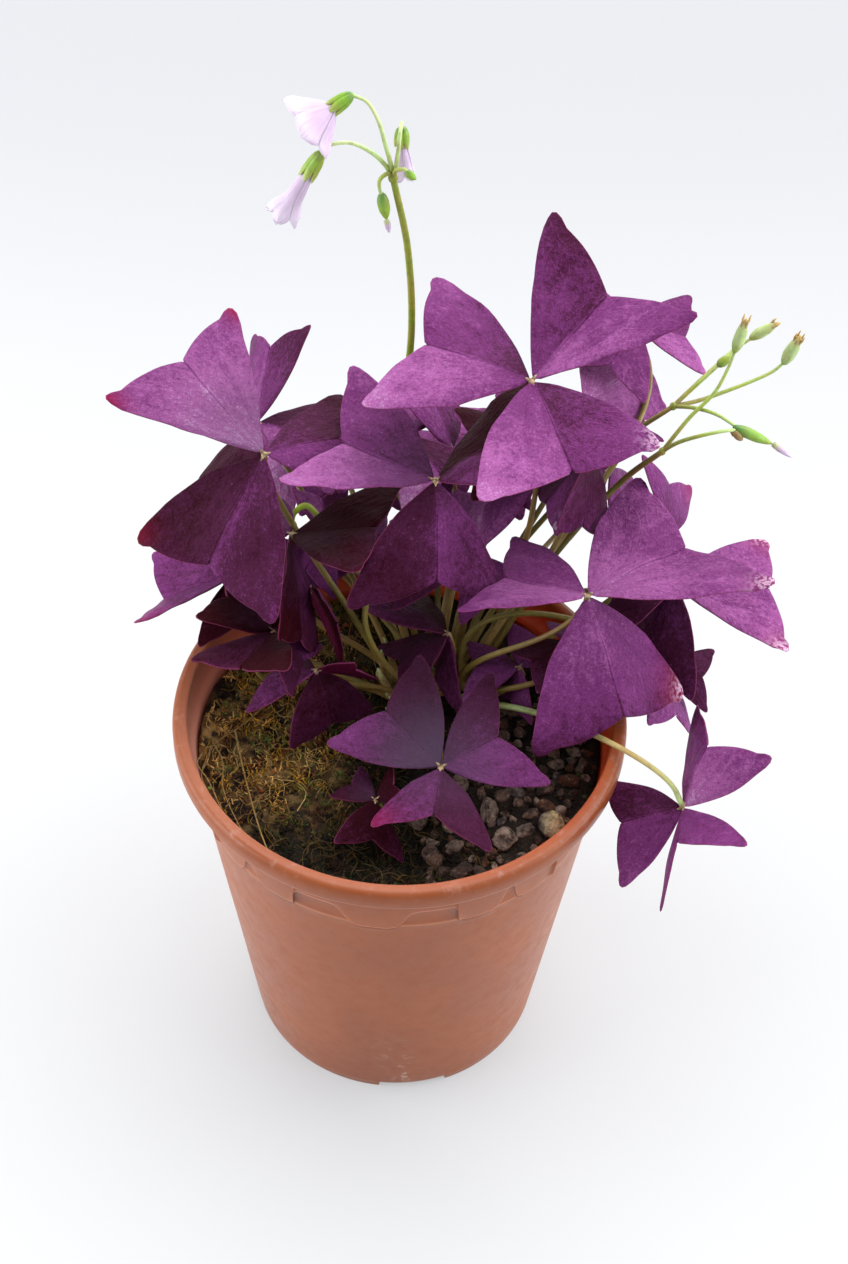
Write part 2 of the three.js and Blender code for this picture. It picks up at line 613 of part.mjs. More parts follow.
function leafSolid(leaf) {
  const hub = vector(leaf.hub);
  const leaflets = leaf.leaflets.map(readLeaflet);
  const down = stalkDirection(leaf, leaflets);
  const stub = new THREE.LineCurve3(
    hub.clone().addScaledVector(down, -HUB_TOP),
    hub.clone().addScaledVector(down, HUB_DEPTH),
  );
  const blades = leaflets.map((leaflet) => leafletSolid(hub, leaflet));
  return join([tube(stub, ...HUB_RADII, STALK_SIDES, 1), ...blades]);
}

// ---- stalks ----

function leafStalkCurve(leaf) {
  const hub = vector(leaf.hub);
  const down = stalkDirection(leaf, leaf.leaflets.map(readLeaflet));
  const end = hub.clone().addScaledVector(down, HUB_DEPTH + GAP);
  const away = new THREE.Vector2(hub.x - CROWN.x, hub.y - CROWN.y);
  const share = FOOT_SPREAD * Math.min(1, away.length() / FOOT_REACH);
  const turn = away.angle();
  const foot = leaf.base ?? CROWN.clone().add(
    new THREE.Vector3(CROWN_RADII.x * share * Math.cos(turn), CROWN_RADII.y * share * Math.sin(turn), 0),
  );
  const [swingX, swingY, swingZ, rise, approach] = leaf.bow;
  const swing = new THREE.Vector3(swingX, swingY, swingZ);
  const length = end.distanceTo(foot);
  return new THREE.CubicBezierCurve3(
    foot,
    foot.clone().add(swing).add(new THREE.Vector3(0, 0, length * rise)),
    end.clone().add(swing).addScaledVector(down, length * approach),
    end,
  );
}

function through(points) {
  return new THREE.CatmullRomCurve3(points.map(vector));
}

// The rhizome, a flattened ball.
function crownSolid(extra) {
  const rings = CROWN_LATITUDES.map((latitude) => {
    const level = Math.cos(radians(latitude));
    const ring = [];
    for (let j = 0; j < CROWN_SIDES; j += 1) {
      const turn = (2 * Math.PI * j) / CROWN_SIDES;
      ring.push(new THREE.Vector3(
        CROWN.x + (CROWN_RADII.x + extra) * level * Math.cos(turn),
        CROWN.y + (CROWN_RADII.y + extra) * level * Math.sin(turn),
        CROWN.z + (CROWN_RADII.z + extra) * Math.sin(radians(latitude)),
      ));
    }
    return ring;
  });
  return solidFromRings(rings);
}

// Everything that stands in the soil, wider by `extra` where it is used to cut its holes.
function rootedSolids(extra) {
  const runner = new THREE.CatmullRomCurve3([
    new THREE.Vector3(CROWN.x - 2, CROWN.y - 6, CROWN.z - 3),
    new THREE.Vector3(CROWN.x - 6, CROWN.y - 24, CROWN.z - 4),
    RUNNER_BASE.clone(),
  ]);
  const parts = [crownSolid(extra)];
  parts.push(tube(runner, RUNNER_RADII[0] + extra, RUNNER_RADII[1] + extra, 6, 5));
  for (const leaf of LEAVES) {
    const curve = leafStalkCurve(leaf);
    const steps = Math.ceil(curve.getLength() / STALK_STEP) + 1;
    parts.push(tube(curve, STALK_BASE_RADIUS + extra, STALK_TOP_RADIUS + extra, STALK_SIDES, steps));
  }
  for (const { points, radii, steps } of [...SCAPES, CROZIER]) {
    parts.push(tube(through(points), radii[0] + extra, radii[1] + extra, 5, steps));
  }
  return join(parts);
}

const BUD_PROFILE = [[0, 0.45], [0.25, 0.95], [0.6, 0.9], [1, 0.15]];

function budSolid({ foot, tip, radius }) {
  const start = vector(foot);
  const end = vector(tip);
  const length = start.distanceTo(end);
  return turned(start, end, BUD_PROFILE.map(([share, size]) => [share * length, size * radius]), 5);
}

// ---- blooms ----

const LOBES = 5;
const CUP_WALL = 0.6;
const PETAL_WALL = 0.7;

function lobeWave(angle) {
  return Math.abs(Math.cos((LOBES * angle) / 2));
}

// Five pointed sepals, grown together at their foot.
function calyxSolid({ foot, mouth, cup, cupRadius }) {
  const rim = (angle) => cup * (0.66 + 0.34 * lobeWave(angle) ** 1.5);
  return turned(vector(foot), vector(mouth), [
    [-0.3, 0.5],
    [cup * 0.2, cupRadius * 0.8],
    [cup * 0.5, cupRadius],
    [rim, cupRadius * 0.92],
    [rim, cupRadius * 0.92 - CUP_WALL],
    [cup * 0.32, cupRadius - CUP_WALL],
  ], 10);
}

// Five petals in one funnel, their lobes free towards the mouth.
function petalSolid({ foot, mouth, cup, cupRadius, mouthRadius, tube: tubeShare, lobe }) {
  const length = vector(foot).distanceTo(vector(mouth));
  const throat = cupRadius - CUP_WALL - GAP - 0.1;
  const start = cup * 0.32 + GAP + 0.3;
  const tubeEnd = start + (length - start) * tubeShare;
  const flare = (share) => throat + (mouthRadius - throat) * share;
  const rim = (angle) => length + (lobeWave(angle) - 1) * lobe * length * 0.8;
  const rimRadius = (angle) => flare(0.62 + 0.38 * lobeWave(angle) * (0.6 + lobe));
  return turned(vector(foot), vector(mouth), [
    [start, 0.5],
    [cup * 0.62, throat],
    [cup * 1.02, throat],
    [tubeEnd, flare(0.5)],
    [rim, rimRadius],
    [(angle) => rim(angle) - 0.1, (angle) => rimRadius(angle) - PETAL_WALL],
    [tubeEnd + PETAL_WALL / 2, flare(0.5) - PETAL_WALL],
    [cup * 1.02 + PETAL_WALL / 2, throat - PETAL_WALL],
  ], 15);
}

// ---- soil and stones ----

function soilHeight(x, y) {
  const swell = Math.sin(x * 0.11 + 1.3) * Math.cos(y * 0.09 - 0.4);
  const ripple = Math.sin(x * 0.31 + y * 0.23) * Math.sin(y * 0.37 - x * 0.17);
  const dip = 3.5 * Math.exp(-(((x + 1) / 15) ** 2) - (((y + 42) / 12) ** 2));
  return SOIL_TOP + 0.8 * swell + 0.5 * ripple - dip;
}

const SOIL_EDGE = [58.5, 116.8]; // radius and height at which the soil meets the wall
const SOIL_RINGS = [54, 42, 28, 12]; // radii at which the soil's top is shaped

function soilBody() {
  const circle = (radius, height) => Array.from({ length: SIDES }, (_, j) => {
    const turn = (2 * Math.PI * j) / SIDES;
    const x = radius * Math.cos(turn);
    const y = radius * Math.sin(turn);
    return new THREE.Vector3(x, y, height ?? soilHeight(x, y));
  });
  const clear = (radius) => (radius - SOIL_GAP) * Math.cos(Math.PI / SIDES);
  const rings = [
    circle(clear(INNER[0][0]), FLOOR + GAP),
    circle(clear(INNER[1][0] - 0.1), INNER[1][1]),
    circle(clear(INNER[2][0] - 0.1), INNER[2][1] + SOIL_GAP),
    circle(clear(SOIL_EDGE[0]), SOIL_EDGE[1]),
    ...SOIL_RINGS.map((radius) => circle(radius)),
  ];
  return solidFromRings(rings);
}

// The plain hole in the soil that the rhizome sits in, open at the top.
function crownHole() {
  const height = 3.4 * CROWN_RADII.z;
  const hole = new THREE.CylinderGeometry(1, 1, height, 2 * CROWN_SIDES);
  hole.rotateX(Math.PI / 2);
  hole.scale(CROWN_RADII.x + CROWN_HOLE_MARGIN, CROWN_RADII.y + CROWN_HOLE_MARGIN, 1);
  hole.translate(CROWN.x, CROWN.y, CROWN.z + CROWN_RADII.z);
  return toSolid(hole);
}

function stone(centre, radii, detail, turn) {
  const geometry = new THREE.IcosahedronGeometry(1, detail);
  geometry.scale(...radii);
  geometry.rotateX(turn);
  geometry.rotateZ(turn * 2.3);
  geometry.translate(...centre);
  return toSolid(geometry);
}

// Gravel heaped over the right front of the soil, clear of the large pebble.
function gravelSolids() {
  const random = seededRandom(GRAVEL_SEED);
  const between = ([low, high], share) => low + (high - low) * share;
  const stones = [];
  while (stones.length < GRAVEL_COUNT) {
    const reach = between(GRAVEL_REACH, Math.sqrt(random()));
    const turn = radians(between(GRAVEL_SECTOR, random()));
    const size = between(GRAVEL_SIZE, random());
    const x = reach * Math.cos(turn);
    const y = reach * Math.sin(turn);
    const flat = 0.7 + 0.25 * random();
    const spin = 6 * random();
    const fromPebble = Math.hypot(x - PEBBLE.centre[0], y - PEBBLE.centre[1]);
    if (fromPebble > size + PEBBLE.radii[0] && reach + size < GRAVEL_LIMIT) {
      const height = soilHeight(x, y) + size * 0.15;
      stones.push(stone([x, y, height], [size, size * 0.85, size * flat], 0, spin));
    }
  }
  return stones;
}

function pebbleSolid(extra) {
  return stone(PEBBLE.centre, PEBBLE.radii.map((radius) => radius + extra), 1, 0.6);
}

// ---- the whole plant ----

addPiece("pot", potSolid(), TERRACOTTA);

const soil = join([soilBody(), ...gravelSolids()])
  .subtract(crownHole())
  .subtract(rootedSolids(SOIL_GAP))
  .subtract(pebbleSolid(GAP))
  .simplify(SLIVER);
addPiece("soil", mainBody(soil), PEAT);
addPiece("pebble", pebbleSolid(0), STONE);

const pedicels = PEDICELS.map((points) => tube(through(points), PEDICEL_RADIUS, PEDICEL_RADIUS, 3, 5));
const stalks = join([rootedSolids(0), ...pedicels, ...BUDS.map(budSolid), ...BLOOMS.map(calyxSolid)]);
addPiece("stalks", mainBody(stalks), GREEN);

LEAVES.forEach((leaf, i) => {
  addPiece(`leaf_${String(i + 1).padStart(2, "0")}`, leafSolid(leaf), PURPLE);
});

BLOOMS.forEach((bloom, i) => {
  addPiece(`petals_${i + 1}`, petalSolid(bloom), LILAC);
});

FURLED_PETALS.forEach((petals) => {
  addPiece(petals.name, budSolid(petals), LILAC);
});

export default group;
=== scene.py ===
"""A purple shamrock in a terracotta-coloured nursery pot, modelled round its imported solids.

The plant's plan is in millimetres and degrees, in the solids' frame; every mesh is made in metres."""

import math
import random

import bmesh
import bpy
import numpy as np
from mathutils import Matrix, Vector, noise


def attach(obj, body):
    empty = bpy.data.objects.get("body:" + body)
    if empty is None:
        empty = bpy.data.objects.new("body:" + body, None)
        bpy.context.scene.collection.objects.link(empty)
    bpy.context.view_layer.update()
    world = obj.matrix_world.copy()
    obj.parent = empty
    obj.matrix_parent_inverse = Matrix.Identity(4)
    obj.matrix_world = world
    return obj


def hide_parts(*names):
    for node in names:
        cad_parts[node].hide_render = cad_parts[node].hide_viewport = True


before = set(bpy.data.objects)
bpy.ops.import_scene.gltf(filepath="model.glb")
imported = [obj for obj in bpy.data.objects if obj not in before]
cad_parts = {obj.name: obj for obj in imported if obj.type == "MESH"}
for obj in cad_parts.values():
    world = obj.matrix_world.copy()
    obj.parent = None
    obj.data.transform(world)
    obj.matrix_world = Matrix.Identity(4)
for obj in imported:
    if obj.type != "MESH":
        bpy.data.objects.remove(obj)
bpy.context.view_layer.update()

MM = 0.001
BODY = "root"

# ---- plan of the pot ----

POT_HEIGHT = 132.0
LIP_RADIUS = 65.0
FOOT_RADIUS = 44.8
WALL_TAPER = 0.1256
WALL = 1.6
FLOOR = 3.0
BAND_RISE = 0.9
BAND_TOP = 124.6
LIP_BOTTOM = 125.0
TAB_CENTRES = [-170, -95, -20, 50, 120]
DRAIN_COUNT = 4
DRAIN_CENTRE = -81
DRAIN_WIDTH = 27
DRAIN_HEIGHT = 1.8
DRAIN_HOLE_RADIUS = 3.5
DRAIN_HOLE_REACH = 34.0
SOIL_TOP = 118.0

# ---- plan of the plant: leaves ----
# Of each leaf: the hub, the bow of its stalk (x, y, z, and the shares of its length over which
# it leaves the foot and meets the hub), and for each leaflet the heading, pitch, roll and
# length to its ears, then the spread, fold, notch, how much longer the left ear is and how
# round the sides are, as far as they aren't the usual ones. Some say which way the stalk comes
# down from the hub (arrive) or where it starts (base).

CROWN = np.array([9.0, 18.0, 112.0])
CROWN_RADII = np.array([17.0, 12.0, 9.0])
RUNNER_BASE = [-3, -21, 112]
FOOT_SPREAD = 0.75
FOOT_REACH = 60.0
STALK_RADII = (1.35, 1.0, 0.75, 0.85)  # at the foot, above it, below the hub and at it
HUB_DEPTH = 3.6
USUAL_LENGTH = 45
DROOP = 0.08
STALK_STEPS = 44
USUAL_LEAFLET = (38, -8, 0.8, 0.0, 1.0)
USUAL_BOW = (0, 0, 0, 0.45, 0.25)

LEAVES = [
    # the four large leaves on top
    dict(hub=[33, 42, 222], bow=[9, 3, 0, 0.1, 0.54],
         leaflets=[[45, 27, 2, 49, 37, 17, 0.8, 0.02, 0.4], [160, 8, -5, 46, 36, 0, 0.83],
         [-71, -1, 0, 45, 37, 12, 0.91, -0.08]]),
    dict(hub=[-39, 33, 200], bow=[-2, -1, 0, 0.23, 0.19],
         leaflets=[[138, 26, 1, 46, 34, -2, 0.91, -0.03, 0.2], [-126, -39, 3, 46, 35, 0, 0.91],
         [26, -4, 5, 35, 33, -9, 0.76, 0.08]]),
    dict(hub=[8, 28, 197], bow=[-26, -13, 0, 0.53, 0.56],
         leaflets=[[158, 7, -2, 44, 36, 17, 0.78, -0.01], [-84, -45, -23, 41, 37, -13, 0.85, -0.01],
         [16, 35, -16, 40, 38, 2, 0.91]]),
    dict(hub=[51, 10, 172], bow=[-8, -2, 0, 0.54, 0.42],
         leaflets=[[35, 4, -8, 50, 39, 12, 0.88, -0.03], [158, -5, 17, 38, 39, 5, 0.83, -0.03],
         [-60, -47, 0, 47, 35, -21, 0.95, 0.01]]),
    # right side
    dict(hub=[78, 30, 156], bow=[-7, 18, 0, 0.65, 0.4],
         leaflets=[[6, -6, 2, 37, 36, 0, 0.93, 0.02], [-144, -59, -1, 34, 40, -10], [175, -15, 0, 28]]),
    dict(hub=[77, 45, 160], bow=[3, -5, 0, 0.38, 0.5],
         leaflets=[[89, 24, 57, 26, 39, 2, 0.8, -0.03], [32, -60, 0, 22], [170, 0, 0, 24]]),
    dict(hub=[80, -29, 128], bow=[-2, 1, 10, 0.16, 0.07], arrive=[123, 34],
         leaflets=[[63, 55, -35, 30, 38, -18], [-178, -21, -11, 28, 39, -15, 0.85, -0.01],
         [-103, 22, 54, 30, 40, -29]]),
    dict(hub=[78, 23, 127], bow=[-19, 7, 9, 0.57, 0.28], arrive=[174, 48],
         leaflets=[[-1, -15, 13, 18, 38, -5, 0.8, 0.05], [-76, -20, -49, 23], [113, -12, 0, 26]]),
    dict(hub=[65, 86, 204], bow=[25, 2, 0, 0.63, 0.3],
         leaflets=[[12, -20, 9, 25, 39, 8, 0.83, 0.05], [167, 15, 0, 28], [-125, -15, 0, 24]]),
    dict(hub=[50, 65, 192], bow=[-3, -2, 0, 0.41, 0.41],
         leaflets=[[48, 1, 38, 36, 34, -27, 0.91, -0.01], [185, -15, 0, 32], [-70, 15, 0, 26]]),
    dict(hub=[52, 48, 190], bow=[5, -1, 0, 0.13, 0.13], arrive=[135, -76],
         leaflets=[[-94, -46, -62, 28, 36, 6, 0.93, 0.02], [-160, -48, 20, 28, 36, -3, 0.93, -0.1],
         [102, -15, 0, 26]]),
    # front and low over the soil
    dict(hub=[12, -22, 134], bow=[1, -2, 0, 0.5, 0.14],
         leaflets=[[139, 21, -12, 33, 36, 0, 0.84, -0.03], [23, 21, 16, 31, 38, -2, 0.74, 0.01],
         [-95, 10, -6, 29, 37, -9, 0.79, 0.03]]),
    dict(hub=[-6, -28, 126], bow=[0, 0, 0, 0.4, 0.2], base=RUNNER_BASE,
         leaflets=[[144, 10, 8, 13, 37, -3, 0.8, -0.02], [21, 46, -5, 11, 39, 2],
         [-89, -8, -31, 19, 37, -5]]),
    dict(hub=[47, 14, 148], bow=[-3, -8, 0, 0.52, 0.29],
         leaflets=[[-155, -12, 12, 19, 39, -5], [70, -20, 0, 16], [-48, 0, 0, 22]]),
    dict(hub=[34, 14, 136], bow=[0, 5, 0, 0.42, 0.29],
         leaflets=[[-125, -58, 27, 17, 38, -14, 0.8, -0.01], [60, 0, 0, 20], [176, -3, 0, 20]]),
    dict(hub=[13, 20, 143], bow=[-1, 1, 0, 0.37, 0.48],
         leaflets=[[140, 11, 27, 26, 37, -4], [-158, -17, 17, 25, 38, -7], [-123, -61, 45, 24, 38, -18]]),
    # left side
    dict(hub=[-44, 66, 180], bow=[-2, -2, 0, 0.31, 0.26],
         leaflets=[[85, 39, -56, 33, 35, -6, 0.84, 0.01], [-125, -27, 32, 27, 40, -5], [-8, 0, 0, 32]]),
    dict(hub=[-32, 28, 174], bow=[6, 11, 0, 0.54, 0.4], arrive=[-13, -56],
         leaflets=[[-16, 26, -3, 35, 36, 10, 0.96, -0.02], [-77, -33, -68, 36, 32, 3, 0.98, 0.03],
         [142, -15, 0, 26]]),
    dict(hub=[-36, 9, 154], bow=[-8, -2, 0, 0.5, 0.55],
         leaflets=[[157, 34, 21, 26, 38, 0], [-116, 18, 21, 28, 38, 10, 0.9, 0.08], [-24, -36, -8, 19]]),
    dict(hub=[-24, 3, 145], bow=[-2, 3, 0, 0.38, 0.23],
         leaflets=[[166, -19, 3, 23, 38, -6], [-53, -58, 3, 25, 35, -12, 0.86, 0.03],
         [-5, 16, -60, 19, 41, 1, 0.8, -0.02]]),
    dict(hub=[-50, 27, 156], bow=[7, -8, 0, 0.27, 0.53],
         leaflets=[[-178, -22, 15, 32, 40, 21, 0.86, -0.03], [70, 15, 0, 24], [-72, -15, 0, 22]]),
    dict(hub=[-27, 29, 150], bow=[-2, 5, 0, 0.42, 0.35],
         leaflets=[[-55, 3, -81, 25, 39, -4], [80, 10, 0, 20], [144, -15, 0, 24]]),
    dict(hub=[-23, 43, 158], bow=[9, -3, 0, 0.5, 0.43],
         leaflets=[[97, 41, 38, 17, 38, 4, 0.8, -0.03], [11, -6, -6, 26], [-119, -17, -5, 19]]),
    # middle and back
    dict(hub=[13, 70, 168], bow=[1, 0, 0, 0.55, 0.27],
         leaflets=[[114, 32, 38, 23, 40, 2, 0.8, -0.03], [10, -15, 1, 30], [-138, -1, 1, 30]]),
    dict(hub=[20, 38, 158],
         leaflets=[[79, 21, -31, 26, 35, -2, 0.8, 0.04], [182, 0, 0, 30], [-60, -15, 0, 22]]),
    dict(hub=[-19, 83, 158], bow=[-6, 4, 0, 0.62, 0.11],
         leaflets=[[90, -15, 0, 30], [210, 0, 0, 30], [-18, 0, 0, 30]]),
    dict(hub=[-1, 67, 176], bow=[10, 14, 0, 0.63, 0.32], arrive=[34, -62],
         leaflets=[[100, -10, 0, 26], [193, 4, 0, 28], [-48, -12, 0, 28]]),
    dict(hub=[21, 92, 152],
         leaflets=[[90, -15, 0, 32], [210, -15, 0, 32], [-30, 0, 0, 32]]),
    dict(hub=[40, 68, 176], bow=[-6, -2, 0, 0.48, 0.13],
         leaflets=[[71, -2, -4, 29], [189, 0, -5, 30], [19, -41, 0, 27]]),
    dict(hub=[61, 82, 150],
         leaflets=[[102, 15, 0, 28], [198, -15, 0, 28], [-15, -60, 0, 28]]),
    dict(hub=[-34, 84, 150],
         leaflets=[[90, -15, 0, 28], [222, -15, 0, 28], [-30, 0, 0, 28]]),
]

# ---- plan of the plant: flower stalks, buds and blooms ----

UMBEL = [-5.4, 58, 276]
RIGHT_UMBEL_LOW = [71, 45, 194]
RIGHT_UMBEL_HIGH = [74, 57, 200]

SCAPES = [
    dict(points=[[11, 26, 112], [17.9, 38, 136.7], [0.8, 56.4, 154], [-5.5, 55.8, 181.9], [-0.3, 62.3, 210],
                 [-1.2, 58, 252], UMBEL],
         radii=[1.2, 0.9], tint="scape"),
    dict(points=[[17, 24, 112], [31, 36, 132], [45, 43, 156], [61, 52, 174], RIGHT_UMBEL_LOW],
         radii=[1.2, 0.8], tint="olive"),
    dict(points=[[14, 27, 112], [27, 46, 138], [44, 55, 162], [62, 60, 184], RIGHT_UMBEL_HIGH],
         radii=[1.0, 0.7], tint="olive"),
]
CROZIER = dict(
    points=[[6, 23, 112], [2, 29, 137], [-20, 38, 158], [-26, 44, 166], [-29, 44, 169],
            [-32, 43, 167], [-33, 43, 163]],
    radii=[1.0, 0.8], tint="young")

PEDICEL_RADIUS = 0.55
PEDICELS = [
    [UMBEL, [-6.2, 58, 281], [-7.5, 58, 286.5], [-9.4, 58, 294], [-12.4, 58, 299.5], [-16.4, 58, 301.3]],
    [UMBEL, [-7.5, 58, 280], [-11.3, 58, 284], [-16.4, 58, 286.5], [-21.5, 58, 285.6], [-23.8, 58, 283.2]],
    [UMBEL, [-4.7, 58, 279.6], [-4.2, 59, 283.6], [-3.8, 61.5, 288], [-3.5, 64, 288.8], [-3.5, 65.5, 286]],
    [UMBEL, [-6.7, 57, 278], [-8.5, 56.5, 276.8], [-8.9, 56.5, 274.5], [-8.4, 56.5, 271.6]],
    [UMBEL, [-4.6, 56.5, 279.5], [-2.6, 55.5, 280.6], [-1.4, 55, 280.2]],
    [RIGHT_UMBEL_HIGH, [81.4, 60, 199.7], [88.7, 63, 200.6], [96.6, 66, 202.3], [102.3, 68, 204.4],
     [105.2, 68.8, 207.4]],
    [RIGHT_UMBEL_HIGH, [80, 62, 203.6], [86.2, 68, 206], [91.4, 73, 207.8], [96, 75, 210.3]],
    [RIGHT_UMBEL_HIGH, [78.2, 60, 202.8], [82.3, 62, 206.4], [86.2, 64, 209.8]],
    [RIGHT_UMBEL_HIGH, [79.3, 54.5, 202], [85.4, 50, 203.9], [90.4, 46, 203.5]],
    [RIGHT_UMBEL_LOW, [74, 47, 198], [78.5, 51, 202.2], [84.6, 55, 207.4], [88, 58.5, 214],
     [89.3, 60, 219]],
    [RIGHT_UMBEL_LOW, [74.8, 43.5, 199], [81, 41.5, 204], [86.5, 42.5, 204.8], [90, 44.6, 203.4]],
]

# foot, tip, widest radius, and how many dry prongs stand on the tip
BUDS = [
    dict(foot=[-8.3, 56.5, 272], tip=[-6.9, 56.5, 263.5], radius=1.6, prongs=0),
    dict(foot=[-2.2, 55.2, 280.4], tip=[0.6, 54.6, 278.2], radius=1.1, prongs=0),
    dict(foot=[104.9, 68.6, 206.9], tip=[107.7, 66, 219.6], radius=1.9, prongs=5),
    dict(foot=[95.5, 75, 210], tip=[102.7, 75, 216.4], radius=1.6, prongs=3),
    dict(foot=[85.8, 63.8, 209.4], tip=[89.3, 65, 212.6], radius=1.4, prongs=0),
    dict(foot=[89.2, 59.8, 218.4], tip=[91.1, 60.5, 230.1], radius=1.7, prongs=4),
    dict(foot=[89.8, 45.3, 203.9], tip=[101.3, 46, 197.2], radius=1.6, prongs=0),
    dict(foot=[-33, 43, 163.6], tip=[-32.2, 43, 156.5], radius=1.5, prongs=0),
]

BLOOMS = [
    dict(foot=[-15.9, 58, 301.4], mouth=[-28, 55.5, 292.4], cup=7.5, cup_radius=2.2,
         mouth_radius=9.4, tube=0.4, width=0.96, crinkle=0.16),
    dict(foot=[-23.6, 58, 283.4], mouth=[-34.4, 57, 262.6], cup=9.5, cup_radius=2.3,
         mouth_radius=4.6, tube=0.6, width=1.0, crinkle=0.7),
    dict(foot=[-3.5, 65.5, 286.2], mouth=[-3, 65.5, 270], cup=6.4, cup_radius=2.1,
         mouth_radius=3.1, tube=0.4, width=1.0, crinkle=0.35),
]
FURLED_PETALS = [
    dict(name="petals_bud", foot=[-6.84, 56.5, 263.15], tip=[-6.2, 56.5, 259.2], radius=0.9),
    dict(name="petals_withered", foot=[101.75, 46.05, 196.9], tip=[107.6, 46.6, 191.6], radius=0.95),
]


# ---- small helpers ----

def unit(v):
    v = np.asarray(v, float)
    return v / np.linalg.norm(v)


def unit_rows(rows):
    return rows / (np.linalg.norm(rows, axis=1, keepdims=True) + 1e-9)


def circle(count):
    """Evenly spaced angles of a full turn."""
    return 2 * np.pi * np.arange(count) / count


def from_angles(heading, pitch):
    h, p = math.radians(heading), math.radians(pitch)
    return np.array([math.cos(p) * math.cos(h), math.cos(p) * math.sin(h), math.sin(p)])


def turned_about(v, axis, angle):
    c, s = math.cos(angle), math.sin(angle)
    return v * c + np.cross(axis, v) * s + axis * np.dot(axis, v) * (1 - c)


def linear(code):
    """Linear colour of an sRGB code such as "7A3A7A"."""
    parts = [int(code[i:i + 2], 16) / 255 for i in (0, 2, 4)]
    return tuple(p / 12.92 if p <= 0.04045 else ((p + 0.055) / 1.055) ** 2.4 for p in parts) + (1.0,)


def wobble(points, scale, seed, octaves=3):
    """Smooth noise, about -1 to 1, at points in millimetres."""
    shift = Vector((seed * 17.3, seed * 5.1, seed * 9.7))
    return np.array([noise.fractal(Vector(p) / scale + shift, 1.0, 2.0, octaves) for p in points])


class Builder:
    """Gathers points in millimetres, faces and point values, and makes one mesh of them. A
    look is the number of a face's material."""

    def __init__(self, *values):
        self.points, self.faces, self.looks = [], [], []
        self.values = {name: [] for name in values}
        self.count = 0

    def add(self, points, faces, look=0, **values):
        points = np.asarray(points, float).reshape(-1, 3)
        self.points.append(points)
        self.faces.extend([tuple(i + self.count for i in face) for face in faces])
        self.looks.extend([look] * len(faces))
        for name, stored in self.values.items():
            shape = (len(points), 4) if name == "tint" else len(points)
            stored.append(np.broadcast_to(values.get(name, 0.0), shape))
        self.count += len(points)

    def make(self, name, materials, slot, *nodes):
        mesh = bpy.data.meshes.new(name)
        mesh.from_pydata((np.vstack(self.points) * MM).tolist(), [], self.faces)
        for material in materials:
            mesh.materials.append(material)
        mesh.polygons.foreach_set("material_index", self.looks)
        mesh.polygons.foreach_set("use_smooth", [True] * len(self.faces))
        for key, stored in self.values.items():
            kind, field = ("FLOAT_COLOR", "color") if key == "tint" else ("FLOAT", "value")
            attribute = mesh.attributes.new(key, kind, "POINT")
            attribute.data.foreach_set(field, np.concatenate(stored).astype(np.float32).ravel())
        mesh.update()
        piece = bpy.data.objects.new(name, mesh)
        bpy.context.scene.collection.objects.link(piece)
        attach(piece, BODY)
        if nodes:
            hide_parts(*nodes)
        return piece


def ring_faces(rows, count):
    """Faces of a stack of rings of points, closed at both ends."""
    faces = []
    for start in range(0, (rows - 1) * count, count):
        for j in range(count):
            here, after = start + j, start + (j + 1) % count
            faces.append((here, after, after + count, here + count))
    faces.append(tuple(reversed(range(count))))
    faces.append(tuple(range((rows - 1) * count, rows * count)))
    return faces


RIM_SHARE = 0.35  # a shell's thickness at its border against the rest


def shell(grid, thickness, normal=None):
    """A thin closed body on a grid of points, whose upper face is the grid. It returns
    points, faces and, for each point, its index in the flattened grid and 1 if it is under."""
    n, m = grid.shape[:2]
    size = n * m
    if normal is None:
        normal = np.cross(np.gradient(grid, axis=0), np.gradient(grid, axis=1))
        normal /= np.linalg.norm(normal, axis=2, keepdims=True) + 1e-9
    thick = np.full((n, m, 1), float(thickness))
    for edge in (np.s_[0, :], np.s_[-1, :], np.s_[:, 0], np.s_[:, -1]):
        thick[edge] = thickness * RIM_SHARE
    middle = grid - normal * thickness / 2
    upper, under = middle + normal * thick / 2, middle - normal * thick / 2
    faces = []
    for i in range(n - 1):
        for a in range(i * m, i * m + m - 1):
            quad = (a, a + m, a + m + 1, a + 1)
            faces += [quad, tuple(k + size for k in reversed(quad))]
    border = [*range(m - 1), *range(m - 1, size - 1, m), *range(size - 1, size - m, -1),
              *range(size - m, 0, -m)]
    for here, after in zip(border, border[1:] + border[:1]):
        faces.append((here, after, after + size, here + size))
    points = np.vstack([upper.reshape(-1, 3), under.reshape(-1, 3)])
    return points, faces, np.tile(np.arange(size), 2), np.repeat([0.0, 1.0], size)


def add_tube(builder, line, radii, sides=8, look=0, lobes=0.0, **values):
    """Rings of points along a line, carried along without twist. Values come one for each
    ring or one for all."""
    line = np.asarray(line, float)
    normal = np.array([1.0, 0.3, 0.1])
    angles = circle(sides)
    rings = []
    for centre, tangent, radius in zip(line, np.gradient(line, axis=0), np.broadcast_to(radii, len(line))):
        tangent = unit(tangent)
        normal = unit(normal - tangent * normal.dot(tangent))
        reach = radius * (1 + lobes * np.cos(3 * angles))
        rings.append(centre + np.outer(reach * np.cos(angles), normal)
                     + np.outer(reach * np.sin(angles), np.cross(tangent, normal)))
    for name, value in values.items():
        if np.ndim(value) == (2 if name == "tint" else 1):
            values[name] = np.repeat(value, sides, axis=0)
    builder.add(np.array(rings), ring_faces(len(rings), sides), look, **values)


